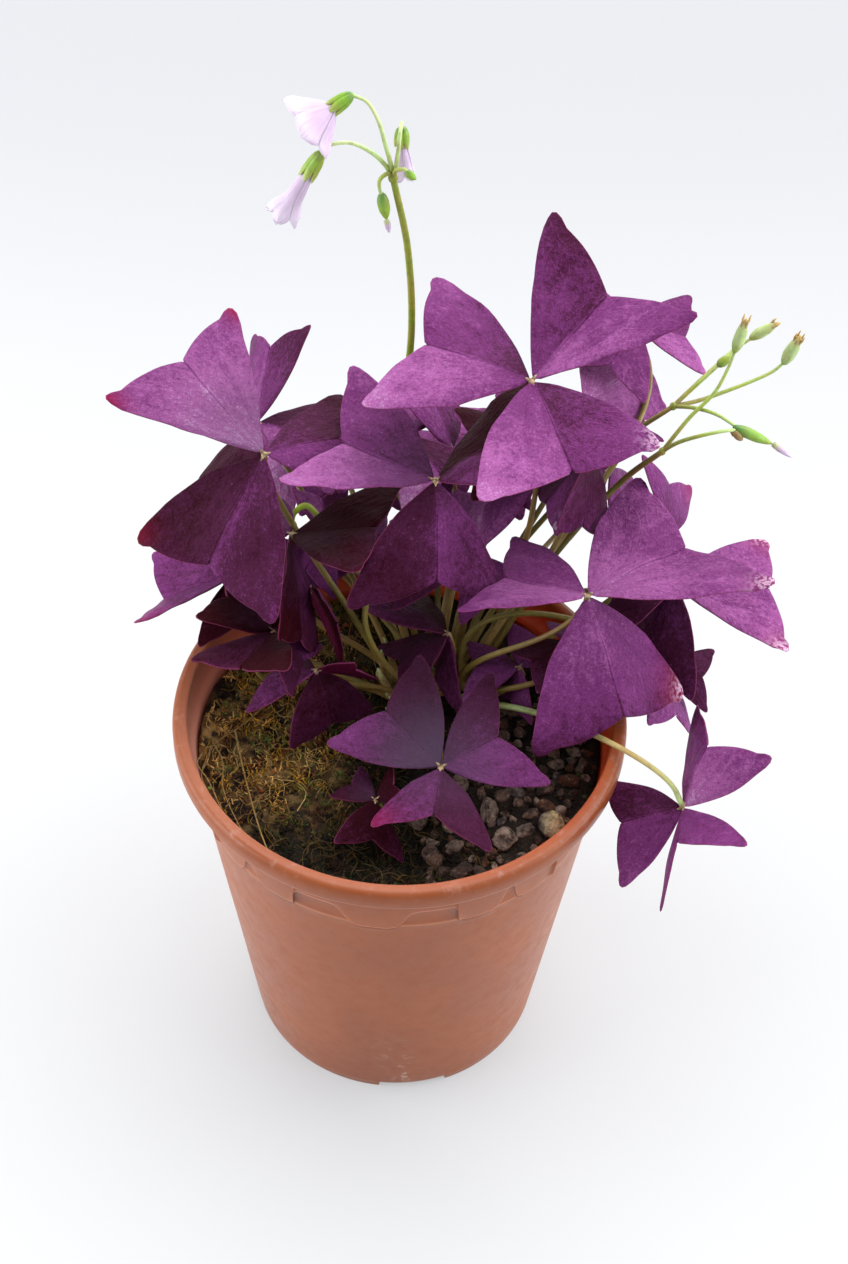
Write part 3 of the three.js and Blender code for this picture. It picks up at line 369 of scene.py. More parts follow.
def through(points, steps):
    """A smooth line through points, as the solids' stalks follow them."""
    p = [np.asarray(q, float) for q in points]
    p = [2 * p[0] - p[1], *p, 2 * p[-1] - p[-2]]
    spans = len(points) - 1
    line = []
    for i in range(steps + 1):
        x = spans * i / steps
        k = min(int(x), spans - 1)
        w = x - k
        a, b, c, d = p[k:k + 4]
        t0, t1, t2 = (math.sqrt(np.linalg.norm(v)) or 1.0 for v in (b - a, c - b, d - c))
        m1 = ((b - a) / t0 - (c - a) / (t0 + t1) + (c - b) / t1) * t1
        m2 = ((c - b) / t1 - (d - b) / (t1 + t2) + (d - c) / t2) * t1
        line.append(b + m1 * w + (3 * (c - b) - 2 * m1 - m2) * w ** 2 + (2 * (b - c) + m1 + m2) * w ** 3)
    return np.array(line)


class Axis:
    """The line from a foot to a tip, with two directions across it."""

    def __init__(self, foot, tip):
        self.foot = np.asarray(foot, float)
        self.length = np.linalg.norm(tip - self.foot)
        self.along = unit(tip - self.foot)
        self.across = unit(np.cross([0, 1, 0], self.along))
        self.up = np.cross(self.along, self.across)

    def points(self, along, out, angle):
        """Points by how far along the line they are, how far out from it and where round it."""
        along, out, angle = (value[..., None] for value in np.broadcast_arrays(along, out, angle))
        return (self.foot + self.along * along
                + out * (np.cos(angle) * self.across + np.sin(angle) * self.up))


UPRIGHT = Axis([0, 0, 0], [0, 0, 1])


def ball(centre, radii, rings=7, sides=10, axis=(0.02, 0, 1)):
    """Rings of points of a closed ball about its axis."""
    axis = Axis([0, 0, 0], axis)
    angles = circle(sides)
    level = np.outer(radii[0] * np.cos(angles), axis.across) + np.outer(radii[1] * np.sin(angles), axis.up)
    rows = [axis.along * radii[2] * math.sin(t) + math.cos(t) * level
            for t in np.radians(np.linspace(-85, 85, rings))]
    return np.asarray(centre, float) + np.array(rows)


def add_ball(builder, centre, radii, look=0, axis=(0.02, 0, 1), **values):
    rings = ball(centre, radii, axis=axis)
    builder.add(rings, ring_faces(*rings.shape[:2]), look, **values)


# ---- materials ----

class Shader:
    """A Principled material whose colour, roughness and bump are made of nodes."""

    def __init__(self, name, **constants):
        self.material = bpy.data.materials.new(name)
        self.material.use_nodes = True
        self.tree = self.material.node_tree
        self.bsdf = self.tree.nodes["Principled BSDF"]
        self.place = self.node("ShaderNodeTexCoord").outputs["Object"]
        self.colour = self.normal = None
        for socket, value in constants.items():
            self.bsdf.inputs[socket.replace("_", " ")].default_value = value

    def node(self, kind, *values, **inputs):
        """A new node, fed by the place or the name of its inputs."""
        made = self.tree.nodes.new(kind)
        for place, value in enumerate(values):
            self.feed(made, place, value)
        for key, value in inputs.items():
            self.feed(made, key.replace("_", " "), value)
        return made

    def feed(self, made, key, value):
        socket = made.inputs[key]
        if isinstance(value, bpy.types.NodeSocket):
            self.tree.links.new(value, socket)
        else:
            socket.default_value = value

    def value(self, name, output="Fac"):
        """What the points say under a name."""
        made = self.node("ShaderNodeAttribute")
        made.attribute_name = name
        return made.outputs[output]

    def vector(self, x, y, z):
        return self.node("ShaderNodeCombineXYZ", x, y, z).outputs[0]

    def noise(self, scale, detail=3.0, roughness=0.55, distortion=0.0, vector=None):
        made = self.node("ShaderNodeTexNoise", Vector=vector or self.place, Scale=scale, Detail=detail,
                         Roughness=roughness, Distortion=distortion)
        return made.outputs["Fac"]

    def cells(self, scale, feature="F1", vector=None):
        made = self.node("ShaderNodeTexVoronoi", Vector=vector or self.place, Scale=scale)
        made.feature = feature
        return made.outputs["Distance"]

    def span(self, value, low, high, to_low=0.0, to_high=1.0):
        """A soft step from one value to another between two limits."""
        made = self.node("ShaderNodeMapRange", value, low, high, to_low, to_high)
        made.interpolation_type = "SMOOTHSTEP"
        return made.outputs[0]

    def math(self, operation, a, b=0.0):
        made = self.node("ShaderNodeMath", a, b)
        made.operation = operation
        return made.outputs[0]

    def times(self, a, b):
        return self.math("MULTIPLY", a, b)

    def plus(self, a, b):
        return self.math("ADD", a, b)

    def mix(self, factor, a, b):
        made = self.tree.nodes.new("ShaderNodeMix")
        made.data_type = "RGBA"
        self.feed(made, 0, factor)
        for index, value in ((6, a), (7, b)):
            self.feed(made, index, linear(value) if isinstance(value, str) else value)
        return made.outputs[2]

    def coat(self, share, colour):
        """Lay a colour over what is there."""
        self.colour = self.mix(share, self.colour, colour)

    def bump(self, height, strength, distance):
        """Add relief to what is there."""
        under = {"Normal": self.normal} if self.normal else {}
        made = self.node("ShaderNodeBump", Height=height, Strength=strength, Distance=distance, **under)
        self.normal = made.outputs[0]

    def finish(self, roughness=None):
        for name, value in (("Base Color", self.colour), ("Roughness", roughness), ("Normal", self.normal)):
            if value is not None:
                self.feed(self.bsdf, name, value)
        return self.material


def leaf_material():
    """Velvety purple blades: each leaflet's tone from maroon to lilac, partly its own colour and
    partly painted light and shade, soft mottling and fine veins that fan out from the hub, a
    painted sparkle of light, a thin midrib and margin, crimson tips painted as light shining
    through them, a slaty grey near some hubs that is partly painted sheen, dry patches, and a redder
    underside."""
    s = Shader("leaf_purple", Specular_IOR_Level=0.035, Specular_Tint=(1.0, 0.5, 0.9, 1.0),
               Subsurface_Weight=0.1, Subsurface_Scale=0.0012, Subsurface_Radius=(1.0, 0.16, 0.35))
    turn, reach = s.value("turn"), s.value("reach")
    margin, tone = s.value("margin"), s.value("tone")
    aside = s.math("ABSOLUTE", turn)
    fan = s.vector(s.times(turn, 4.0), s.times(reach, 2.6), tone)
    streaks = s.noise(1.0, 4.0, 0.55, 1.2, fan)
    blotch = s.noise(42.0, 2.0, 0.5)
    wrinkles = s.noise(330.0, 5.0, 0.62, 0.6)
    pores = s.noise(1000.0, 3.0, 0.6)
    grain = s.noise(2400.0, 2.0, 0.7)
    web = s.vector(s.plus(s.times(aside, 5.0), s.times(streaks, 1.5)),
                   s.math("SUBTRACT", s.times(reach, 11.0), s.times(aside, 7.0)),
                   s.times(blotch, 2.0))
    veins = s.span(s.cells(1.0, "DISTANCE_TO_EDGE", web), 0.0, 0.09, 1.0, 0.0)
    level = tone
    for pattern, share in ((streaks, 0.55), (blotch, 0.7), (wrinkles, 0.55), (pores, 0.7), (grain, 0.7)):
        level = s.plus(level, s.times(s.math("SUBTRACT", pattern, 0.5), share))
    halo = s.times(s.span(aside, 0.02, 0.11, 0.22, 0.0), s.span(reach, 0.7, 0.2))
    level = s.plus(level, s.plus(halo, s.times(veins, 0.07)))
    level = s.plus(level, s.span(aside, 0.008, 0.028, -0.3, 0.0))
    # a painted sparkle: the brightest grains are lightened as glints of light
    level = s.plus(level, s.span(grain, 0.62, 0.76, 0.0, 0.3))
    # tone, which carries painted light and shade, picks the colour from maroon to lilac
    s.colour = s.mix(s.span(level, -1.0, -0.4), "280409", "421832")
    s.coat(s.span(level, -0.45, 0.1), "6C3066")
    s.coat(s.span(level, 0.05, 0.6), "97558E")
    s.coat(s.span(level, 0.55, 1.1), "C09CC0")
    # slaty grey near the hub, partly the leaf's own colour and partly painted sheen
    dusk = s.times(s.value("dusk"), s.span(reach, 0.15, 0.85, 1.0, 0.15))
    s.coat(dusk, "4C3C50")
    # crimson painted on the ears as light shining through the blade
    s.coat(s.value("crimson"), "7E0628")
    s.coat(s.span(margin, 0.05, 0.35, 0.3, 0.0), "A04A70")
    s.coat(s.times(s.value("under"), 0.85), "4A0A26")
    specks = s.span(s.cells(300.0), 0.0, 0.12, 1.0, 0.0)
    specks = s.times(specks, s.span(s.noise(60.0), 0.52, 0.64, 0.0, 0.5))
    s.coat(s.times(specks, s.span(tone, -0.6, 0.2, 0.3, 1.0)), "D0A6CC")
    scar = s.times(s.value("scar"), s.span(s.noise(900.0, 3.0), 0.42, 0.58))
    s.coat(scar, "D0AEC8")
    rough = s.span(s.plus(blotch, grain), 0.7, 1.3, 0.36, 0.5)
    height = s.plus(wrinkles, s.times(streaks, 0.6))
    s.bump(height, 0.6, 0.001)
    s.bump(s.noise(110.0, 3.0, 0.5), 0.5, 0.002)
    s.bump(pores, 0.4, 0.0003)
    s.bump(veins, 0.35, 0.0003)
    s.bump(grain, 0.3, 0.00012)
    s.bump(s.span(aside, 0.0, 0.03), 0.5, 0.0003)
    return s.finish(rough)


def hub_material():
    s = Shader("leaf_hub", Roughness=0.55, Subsurface_Weight=0.2, Subsurface_Scale=0.001)
    mottle = s.noise(900.0, 4.0)
    s.colour = s.mix(s.span(mottle, 0.35, 0.65), "6E5A38", "B79A78")
    s.bump(mottle, 0.5, 0.0004)
    return s.finish()


def stalk_material():
    s = Shader("stalk_green", Subsurface_Weight=0.25, Subsurface_Scale=0.001,
               Subsurface_Radius=(0.8, 0.9, 0.2), Specular_IOR_Level=0.5)
    lines = s.noise(500.0, 4.0, 0.6)
    patches = s.noise(110.0, 3.0)
    s.colour = s.mix(s.span(patches, 0.4, 0.7, 0.0, 0.35), s.value("tint", "Color"), "AE8C46")
    s.coat(s.span(lines, 0.45, 0.7, 0.0, 0.25), "404614")
    s.bump(lines, 0.3, 0.0003)
    return s.finish(s.span(lines, 0.3, 0.7, 0.35, 0.55))


def petal_material():
    """Petals that are greenish at the foot and a pale lilac further out, with fine streaks."""
    s = Shader("petal_lilac", Subsurface_Weight=0.3, Subsurface_Scale=0.0012, Roughness=0.5,
               Subsurface_Radius=(0.9, 0.6, 0.9), Specular_IOR_Level=0.3)
    reach = s.value("reach")
    fan = s.vector(s.times(s.value("turn"), 9.0), s.times(reach, 1.6), 0.0)
    streaks = s.noise(1.0, 4.0, 0.55, 0.3, fan)
    cloud = s.noise(160.0, 2.0)
    s.colour = s.mix(s.span(reach, 0.05, 0.35), "B4BE84", "CCB8D0")
    s.coat(s.span(s.plus(reach, s.times(cloud, 0.5)), 0.75, 1.2), "DCD0E0")
    strength = s.times(s.span(streaks, 0.42, 0.72), s.value("tone"))
    s.coat(s.times(strength, 0.7), "A67AAC")
    s.bump(streaks, 0.4, 0.0004)
    return s.finish()


def pot_material():
    """Terracotta plastic: faint clouds, mottling and dark specks, painted highlights along the
    edges, dust on the lip, grime with painted shade in the recesses and under the steps, and
    scuffs. The inside is painted orange red as light coming through the wall, and painted paler as lit wall
    elsewhere."""
    s = Shader("pot_terracotta", Specular_IOR_Level=0.36, Subsurface_Weight=0.1, Subsurface_Scale=0.002,
               Subsurface_Radius=(1.0, 0.25, 0.1))
    cloud = s.noise(30.0, 4.0, 0.55)
    mottle = s.noise(230.0, 4.0, 0.6)
    speck = s.noise(1200.0, 2.0, 0.5)
    s.colour = s.mix(s.span(cloud, 0.3, 0.7), "91481F", "9C5226")
    s.coat(s.span(mottle, 0.5, 0.72, 0.0, 0.16), "823E22")
    s.coat(s.span(speck, 0.64, 0.72, 0.0, 0.4), "5E2C1A")
    # painted light: the inner wall away from the glow is painted paler, as lit
    s.coat(s.value("pale"), "DC9C88")
    # painted glow of light coming through the wall, orange red on the inside
    s.coat(s.value("inside_light"), "DC4A20")
    # painted highlights along the edges and the faint line
    s.coat(s.times(s.value("edge"), 0.75), "D98E66")
    dust = s.times(s.value("dust"), s.span(s.noise(300.0, 6.0, 0.75), 0.5, 0.76, 0.0, 0.8))
    s.coat(dust, "D6B4AA")
    # grime with painted shade in the recesses, under the steps and lip, and round the lugs
    s.coat(s.times(s.value("grime_and_shade"), 0.8), "5E2E1E")
    scuff = s.times(s.value("scuff"), s.span(s.noise(300.0, 4.0, 0.65), 0.53, 0.66))
    s.coat(s.times(scuff, 0.9), "E2C8BC")
    rough = s.span(s.plus(mottle, cloud), 0.7, 1.3, 0.3, 0.42)
    s.bump(s.noise(45.0, 3.0), 0.08, 0.0015)
    s.bump(speck, 0.08, 0.0001)
    return s.finish(rough)


def soil_material():
    s = Shader("soil_peat", Specular_IOR_Level=0.25)
    lumps = s.noise(160.0, 8.0, 0.7)
    grain = s.cells(900.0)
    s.colour = s.mix(s.span(lumps, 0.35, 0.7), "0B0806", "2A1E15")
    s.coat(s.span(grain, 0.1, 0.5, 0.3, 0.0), "4A382A")
    film = s.times(s.value("moss"), s.span(s.noise(120.0, 5.0, 0.65), 0.4, 0.6))
    green = s.mix(s.noise(240.0, 4.0), "0A0D08", "1C1C0C")
    # dry moss is golden on the back left and painted lighter there, as if lit
    green = s.mix(s.value("dry_and_lit"), green, s.mix(s.span(s.noise(260.0, 4.0), 0.35, 0.65), "5A4426", "B8925A"))
    s.coat(s.times(film, 0.85), green)
    height = s.plus(lumps, s.times(grain, 0.4))
    s.bump(height, 0.9, 0.0015)
    return s.finish(0.92)


def litter_material():
    """Moss, fibres, straw and crumbs: the tint of each comes with its points."""
    s = Shader("litter", Specular_IOR_Level=0.25)
    patches = s.noise(700.0, 4.0, 0.6)
    s.colour = s.mix(s.span(patches, 0.4, 0.7, 0.0, 0.5), s.value("tint", "Color"), "1C140C")
    s.bump(patches, 0.5, 0.0005)
    return s.finish(0.85)


def stone_material():
    """Porous grit: pale dusty patches and dark hollows."""
    s = Shader("stone_grit", Specular_IOR_Level=0.3)
    rock = s.noise(300.0, 7.0, 0.7)
    pits = s.cells(800.0)
    s.colour = s.mix(s.span(rock, 0.35, 0.65), s.value("tint", "Color"), "2A1E1A")
    s.coat(s.span(s.noise(520.0, 5.0, 0.7), 0.52, 0.68, 0.0, 0.5), "A08A7C")
    s.coat(s.span(pits, 0.05, 0.22, 0.5, 0.0), "1E1512")
    height = s.plus(rock, s.times(pits, 0.5))
    s.bump(height, 0.9, 0.0015)
    return s.finish(s.span(rock, 0.3, 0.7, 0.65, 0.95))


LEAF, HUB, STALK, PETAL = leaf_material(), hub_material(), stalk_material(), petal_material()
POT, SOIL, LITTER, GRIT = pot_material(), soil_material(), litter_material(), stone_material()

TINTS = {name: np.array(linear(code)) for name, code in {
    "olive": "7A7030", "scape": "7E8C1E", "young": "AECC3C", "pale": "B4CC86", "brown": "8A6E3A",
    "pink": "A0604A", "straw": "C2A468", "purple": "6E4058", "calyx": "7EAE2C", "bud": "4E7C34",
    "leek": "9CB04A", "cream": "CCDCA0", "tan": "B08A50", "moss": "55602A", "gold": "A87C22",
    "dark": "1E1812", "rust": "6A3A1C", "slate": "6E6260", "sand": "B8A070", "ash": "A88E7E",
    "clay": "7E5E50",
}.items()}


def blend_tints(names, shares):
    """Tints along a run, from the names at evenly spaced shares."""
    stops = np.array([TINTS[name] for name in names])
    places = np.linspace(0, 1, len(names))
    return np.stack([np.interp(shares, places, stops[:, k]) for k in range(4)], axis=-1)


# ---- leaves ----

EAR_START, EAR_END = 0.5, 0.62
SIDE_SHARE, OUTER_START = 0.8, 0.24
SIDE_BULGE, OUTER_BULGE, EAR_PULL = 0.09, 0.05, 1.15
BLADE_THICKNESS = 0.45
CREASE_WIDTH = 0.8  # how softly the two halves of a leaflet meet at the midrib
ROWS = np.concatenate([np.linspace(0.03, EAR_START, 12)[:-1], np.linspace(EAR_START, EAR_END, 7)[:-1],
                       np.linspace(EAR_END, 0.985, 11)])
COLUMNS = np.array([0, 0.05, 0.12, 0.21, 0.31, 0.42, 0.53, 0.64, 0.74, 0.83, 0.9, 0.955, 0.985, 1.0])

# leaf, leaflet, side (1 left, -1 right), strength and reach in millimetres of a crimson ear, painted light
# shining through the blade
BACKLIT_CRIMSON = [
    (2, 0, -1, 0.9, 4), (2, 0, 1, 0.8, 5), (2, 1, -1, 0.4, 6), (5, 0, 1, 0.5, 6), (5, 0, -1, 0.5, 6),
    (4, 2, 1, 0.7, 9), (12, 2, -1, 0.5, 7), (21, 0, 1, 0.4, 8), (4, 0, -1, 0.35, 6), (6, 0, -1, 0.5, 7),
]
# leaf, leaflet, side, reach in millimetres of a dry, bleached patch round an ear
SCARS = [(1, 2, 1, 4), (5, 0, -1, 4), (5, 0, 1, 3), (4, 2, 1, 4), (4, 0, -1, 5), (11, 1, 1, 4)]
# from the darkest purple to the palest, partly the leaflets' own colour, partly painted shade on the dark
# ones and painted light on the pale ones
SHADES_WITH_PAINTED_LIGHT = {"maroon": -0.95, "wine": -0.63, "plum": -0.4, "violet": -0.05, "mauve": 0.15,
          "lilac": 0.37, "pale": 0.7}
# painted light and shade: how much lighter the left half is, a painted sheen band along the middle is, and
# the outer end is
PAINTED_LIGHTER = {"left": (0.2, 0, 0), "right": (-0.2, 0, 0), "middle": (0, 0.3, 0),
           "out": (0, 0, 0.5), "in": (0, 0, -0.5)}
# leaf: the shade of each leaflet, partly painted shade, and where painted light makes it lighter, twice
# where it is much lighter
LEAF_SHADES_WITH_PAINTED_LIGHT = {
    1: ("violet right in", "mauve left out", "mauve right out"),
    2: ("lilac in", "wine left middle", "plum right in"),
    3: ("mauve left out", "plum left middle", "wine right right"),
    4: ("lilac in", "mauve left in", "violet in"),
    5: ("lilac", "plum", "wine"),
    6: ("violet out", "violet", "violet"),
    7: ("mauve right in", "violet left out", "violet"),
    8: ("plum", "mauve", "violet"),
    9: ("mauve right", "violet", "mauve out"),
    10: ("lilac in", "violet", "violet"),
    11: ("plum out", "plum left middle out", "violet"),
    12: ("plum left out", "plum right", "plum right"),
    13: ("wine right", "maroon", "maroon out"),
    14: ("wine out", "violet", "violet"),
    15: ("mauve", "violet", "violet left out"),
    16: ("wine left out", "wine", "plum"),
    17: ("violet left in", "maroon", "violet right right"),
    18: ("maroon right", "wine left in", "violet"),
    19: ("maroon in", "maroon right", "plum left"),
    20: ("plum left", "wine out", "plum"),
    21: ("violet out", "violet", "maroon"),
    22: ("plum", "violet", "violet"),
    23: ("violet left left", "violet", "violet"),
    24: ("violet left out", "violet", "violet"),
    25: ("lilac left in", "plum", "violet"),
    27: ("violet", "violet", "mauve right right out"),
    29: ("violet", "maroon", "violet"),
    31: ("violet", "pale", "violet"),
}
USUAL_SHADES_WITH_PAINTED_LIGHT = ("violet left", "violet", "violet")
MIDDLE_SHEEN_WIDTH = 5.5
TONE_JITTER = 0.08
HUB_RADII = np.array([1.35, 1.35, 1.15])
HUB_RIBS = np.array([0.8, 0.6, 0.25])  # radii along the start of each midrib
# how slaty a leaflet is towards its hub, partly its own colour and partly a painted greyish sheen
DUSKS_AND_SHEEN = {(12, 0): 0.85, (12, 1): 0.5, (12, 2): 0.3, (13, 0): 0.3, (2, 0): 0.5, (3, 0): 0.3}
USUAL_DUSK_AND_SHEEN = 0.04


def outline(leaflet, side):
    """Reach and offset of a leaflet's edge at each row."""
    edge_length = leaflet["length"] * (1 + side * leaflet["skew"])
    spread = math.radians(leaflet["spread"])
    ear = np.array([math.cos(spread), math.sin(spread)]) * edge_length
    outer = np.array([leaflet["notch_reach"], 0.0]) - ear
    side_out = np.array([-math.sin(spread), math.cos(spread)])
    outer_out = unit([-outer[1], outer[0]])
    if outer_out[0] < 0:
        outer_out = -outer_out

    def on_side(t):
        return ear * t + side_out * SIDE_BULGE * leaflet["round"] * edge_length * math.sin(math.pi * t)

    def on_outer(t):
        return ear + outer * t + outer_out * OUTER_BULGE * edge_length * math.sin(math.pi * t)

    line = []
    for share in ROWS:
        if share < EAR_START:
            line.append(on_side(share / EAR_START * SIDE_SHARE))
        elif share < EAR_END:
            w = (share - EAR_START) / (EAR_END - EAR_START)
            line.append((1 - w) ** 2 * on_side(SIDE_SHARE) + 2 * w * (1 - w) * EAR_PULL * ear
                        + w * w * on_outer(OUTER_START))
        else:
            w = (share - EAR_END) / (1 - EAR_END)
            line.append(on_outer(OUTER_START + w * (1 - OUTER_START)))
    return np.array(line), ear


def read_leaflet(values):
    heading, pitch, roll, length, *rest = values
    spread, fold, notch, skew, roundness = [*rest, *USUAL_LEAFLET[len(rest):]]
    forward = from_angles(heading, pitch)
    level = np.array([-math.sin(math.radians(heading)), math.cos(math.radians(heading)), 0.0])
    left = turned_about(level, forward, math.radians(roll))
    return dict(forward=forward, left=left, up=np.cross(forward, left), length=length, spread=spread,
                fold=math.radians(fold), skew=skew, round=roundness,
                notch_reach=notch * length * math.cos(math.radians(spread)))


def ear_patch(rows, leaf_number, k, grid_reach, grid_out, ears):
    """How strongly the patches round a leaflet's ears touch each point of its grid."""
    total = np.zeros(grid_reach.shape)
    for row in rows:
        if row[:2] == (leaf_number, k):
            side, strength, size = row[2:] if len(row) == 5 else (row[2], 1.0, row[3])
            away = np.hypot(grid_reach - ears[side][0], grid_out - ears[side][1] * side)
            total = np.maximum(total, strength * np.exp(-(away / size) ** 2))
    return total


def relief(leaflet, reach, out, across, scar, phases):
    """How far the points of a leaflet's grid stand above its plane: fold, droop, soft waves,
    a rippled and slightly lowered edge, and curled scars."""
    length = leaflet["length"]
    size = length / USUAL_LENGTH
    crease = np.sqrt(out ** 2 + CREASE_WIDTH ** 2) - CREASE_WIDTH
    lift = crease * math.sin(leaflet["fold"]) - DROOP * (reach ** 2 + out ** 2) / length
    swell = np.sin(reach * 0.16 + phases[0]) * np.sin(out * 0.19 + phases[1])
    swell += 0.45 * np.sin(reach * 0.37 + out * 0.21 + phases[2]) * np.sin(out * 0.43 + phases[3])
    lift += 0.75 * size * swell * np.minimum(1, reach / (0.3 * length))
    lift += 0.3 * np.sin(reach * 0.5 + phases[4]) * across ** 4 * size
    lift -= 0.35 * across ** 6
    return lift + scar * 0.9 * np.sin(reach * 1.7 + phases[5]) * np.sin(out * 1.3)


def leaflet_tone_with_painted_light(leaf_number, k, length, reach, out, share, chance):
    """How light each point of a leaflet's grid is, from its shade and its lighter places, with painted
    light and shade laid into its tone.
    """
    shade, *places = LEAF_SHADES_WITH_PAINTED_LIGHT.get(leaf_number, USUAL_SHADES_WITH_PAINTED_LIGHT)[k].split()
    lean, middle, fall = (sum(PAINTED_LIGHTER[place][i] for place in places) for i in range(3))
    # painted light and shade: lean lightens one half as a fold's lit side, middle paints a sheen along the
    # crease, and fall tilts the tone along the leaflet's length
    tone = SHADES_WITH_PAINTED_LIGHT[shade] + chance.uniform(-TONE_JITTER, TONE_JITTER) + lean * np.tanh(out / 0.7)
    tone += middle * np.exp(-(out / MIDDLE_SHEEN_WIDTH) ** 2) * np.minimum(1, reach / (0.35 * length))
    return tone + fall * (share - 0.55)


def add_leaflet(builder, leaf_number, k, hub, leaflet):
    lines, ears = {}, {}
    for side in (1, -1):
        lines[side], ears[side] = outline(leaflet, side)
    mid = leaflet["notch_reach"] * ROWS[:, None] ** 1.15
    across = np.concatenate([-COLUMNS[:0:-1], COLUMNS])
    edge_reach, edge_out = (np.where(across < 0, lines[-1][:, i, None], lines[1][:, i, None])
                            for i in (0, 1))
    reach = mid + (edge_reach - mid) * np.abs(across)
    out = edge_out * across
    margin = (1 - np.abs(across)) * np.hypot(edge_reach - mid, edge_out)
    chance = random.Random(leaf_number * 10 + k)
    phases = [chance.uniform(0, 2 * math.pi) for _ in range(6)]
    # painted light shining through the ears
    crimson = ear_patch(BACKLIT_CRIMSON, leaf_number, k, reach, out, ears)
    scar = ear_patch(SCARS, leaf_number, k, reach, out, ears)
    lift = relief(leaflet, reach, out, across, scar, phases)
    grid = (hub + reach[..., None] * leaflet["forward"]
            + (out * math.cos(leaflet["fold"]))[..., None] * leaflet["left"]
            + lift[..., None] * leaflet["up"])
    points, faces, index, below = shell(grid, BLADE_THICKNESS, np.broadcast_to(leaflet["up"], grid.shape))
    turn = np.arctan2(out, np.maximum(reach, 0.01)) / math.radians(leaflet["spread"])
    share = np.hypot(reach, out) / leaflet["length"]
    tone = leaflet_tone_with_painted_light(leaf_number, k, leaflet["length"], reach, out, share, chance)
    looks = dict(turn=turn, reach=share, margin=margin, crimson=crimson, scar=scar, tone=tone)
    builder.add(points, faces, under=below, dusk=DUSKS_AND_SHEEN.get((leaf_number, k), USUAL_DUSK_AND_SHEEN),
                **{name: value.ravel()[index] for name, value in looks.items()})


def stalk_direction(leaf, leaflets):
    if "arrive" in leaf:
        return from_angles(*leaf["arrive"])
    return -unit(np.array([0, 0, 0.6]) + sum(leaflet["up"] for leaflet in leaflets))


def make_leaf(number, leaf):
    builder = Builder("turn", "reach", "margin", "crimson", "scar", "tone", "under", "dusk")
    hub = np.array(leaf["hub"], float)
    leaflets = [read_leaflet(values) for values in leaf["leaflets"]]
    for k, leaflet in enumerate(leaflets):
        add_leaflet(builder, number, k, hub, leaflet)
    size = 0.5 + 0.22 * min(1.0, leaflets[0]["length"] / 40)
    down = stalk_direction(leaf, leaflets)
    add_ball(builder, hub + down * 0.5, size * HUB_RADII, 1, down)
    for leaflet in leaflets:
        start = hub + leaflet["forward"] * 0.6 - leaflet["up"] * 0.25
        line = [start + leaflet["forward"] * step * size for step in (0, 1.1, 2.2)]
        add_tube(builder, line, size * HUB_RIBS, 7, 1)
    name = f"leaf_{number:02d}"
    builder.make(f"{name}_blades", [LEAF, HUB], "leaf", name)


# ---- stalks ----

def bezier(a, b, c, d, steps):
    t = np.linspace(0, 1, steps + 1)[:, None]
    return (1 - t) ** 3 * a + 3 * t * (1 - t) ** 2 * b + 3 * t ** 2 * (1 - t) * c + t ** 3 * d


def leaf_stalk(leaf):
    """The line of a leaf's stalk, from its foot to just under the hub."""
    hub = np.array(leaf["hub"], float)
    down = stalk_direction(leaf, [read_leaflet(values) for values in leaf["leaflets"]])
    end = hub + down * (HUB_DEPTH + 0.3)
    away = hub[:2] - CROWN[:2]
    share = FOOT_SPREAD * min(1.0, np.linalg.norm(away) / FOOT_REACH)
    foot = np.array(leaf.get("base", CROWN + np.append(CROWN_RADII[:2] * share * unit(away), 0.0)), float)
    *swing, rise, approach = leaf.get("bow", USUAL_BOW)
    length = np.linalg.norm(end - foot)
    line = bezier(foot, foot + swing + [0, 0, length * rise], end + swing + down * length * approach,
                  end, STALK_STEPS)
    return np.vstack([line, hub + down * 2.2, hub + down * 0.9])


# tints from the foot up
STALK_TINTS = [["olive", "brown", "olive"], ["olive", "brown"], ["olive", "brown", "purple", "tan"]]
SCAPE_TINTS = {
    "scape": ["straw", "olive", "scape", "scape", "scape"], "olive": ["straw", "olive", "olive", "olive"],
    "young": ["brown", "olive", "young", "young"],
}
PINK_STALK = 7  # the leaf whose stalk is pale and pink
PINK_TINTS = ["pink", "pale", "straw", "pale"]
PEDICEL_TINTS = {True: ["scape", "pale", "cream", "pale"], False: ["olive", "leek", "pale"]}
BLOOMING = 3  # the first pedicels carry the open blooms


def add_stalk(builder, line, radii, sides, names):
    """A tube whose radii and tints are spread evenly along its line."""
    shares = np.linspace(0, 1, len(line))
    add_tube(builder, line, radii(shares), sides, tint=blend_tints(names, shares))


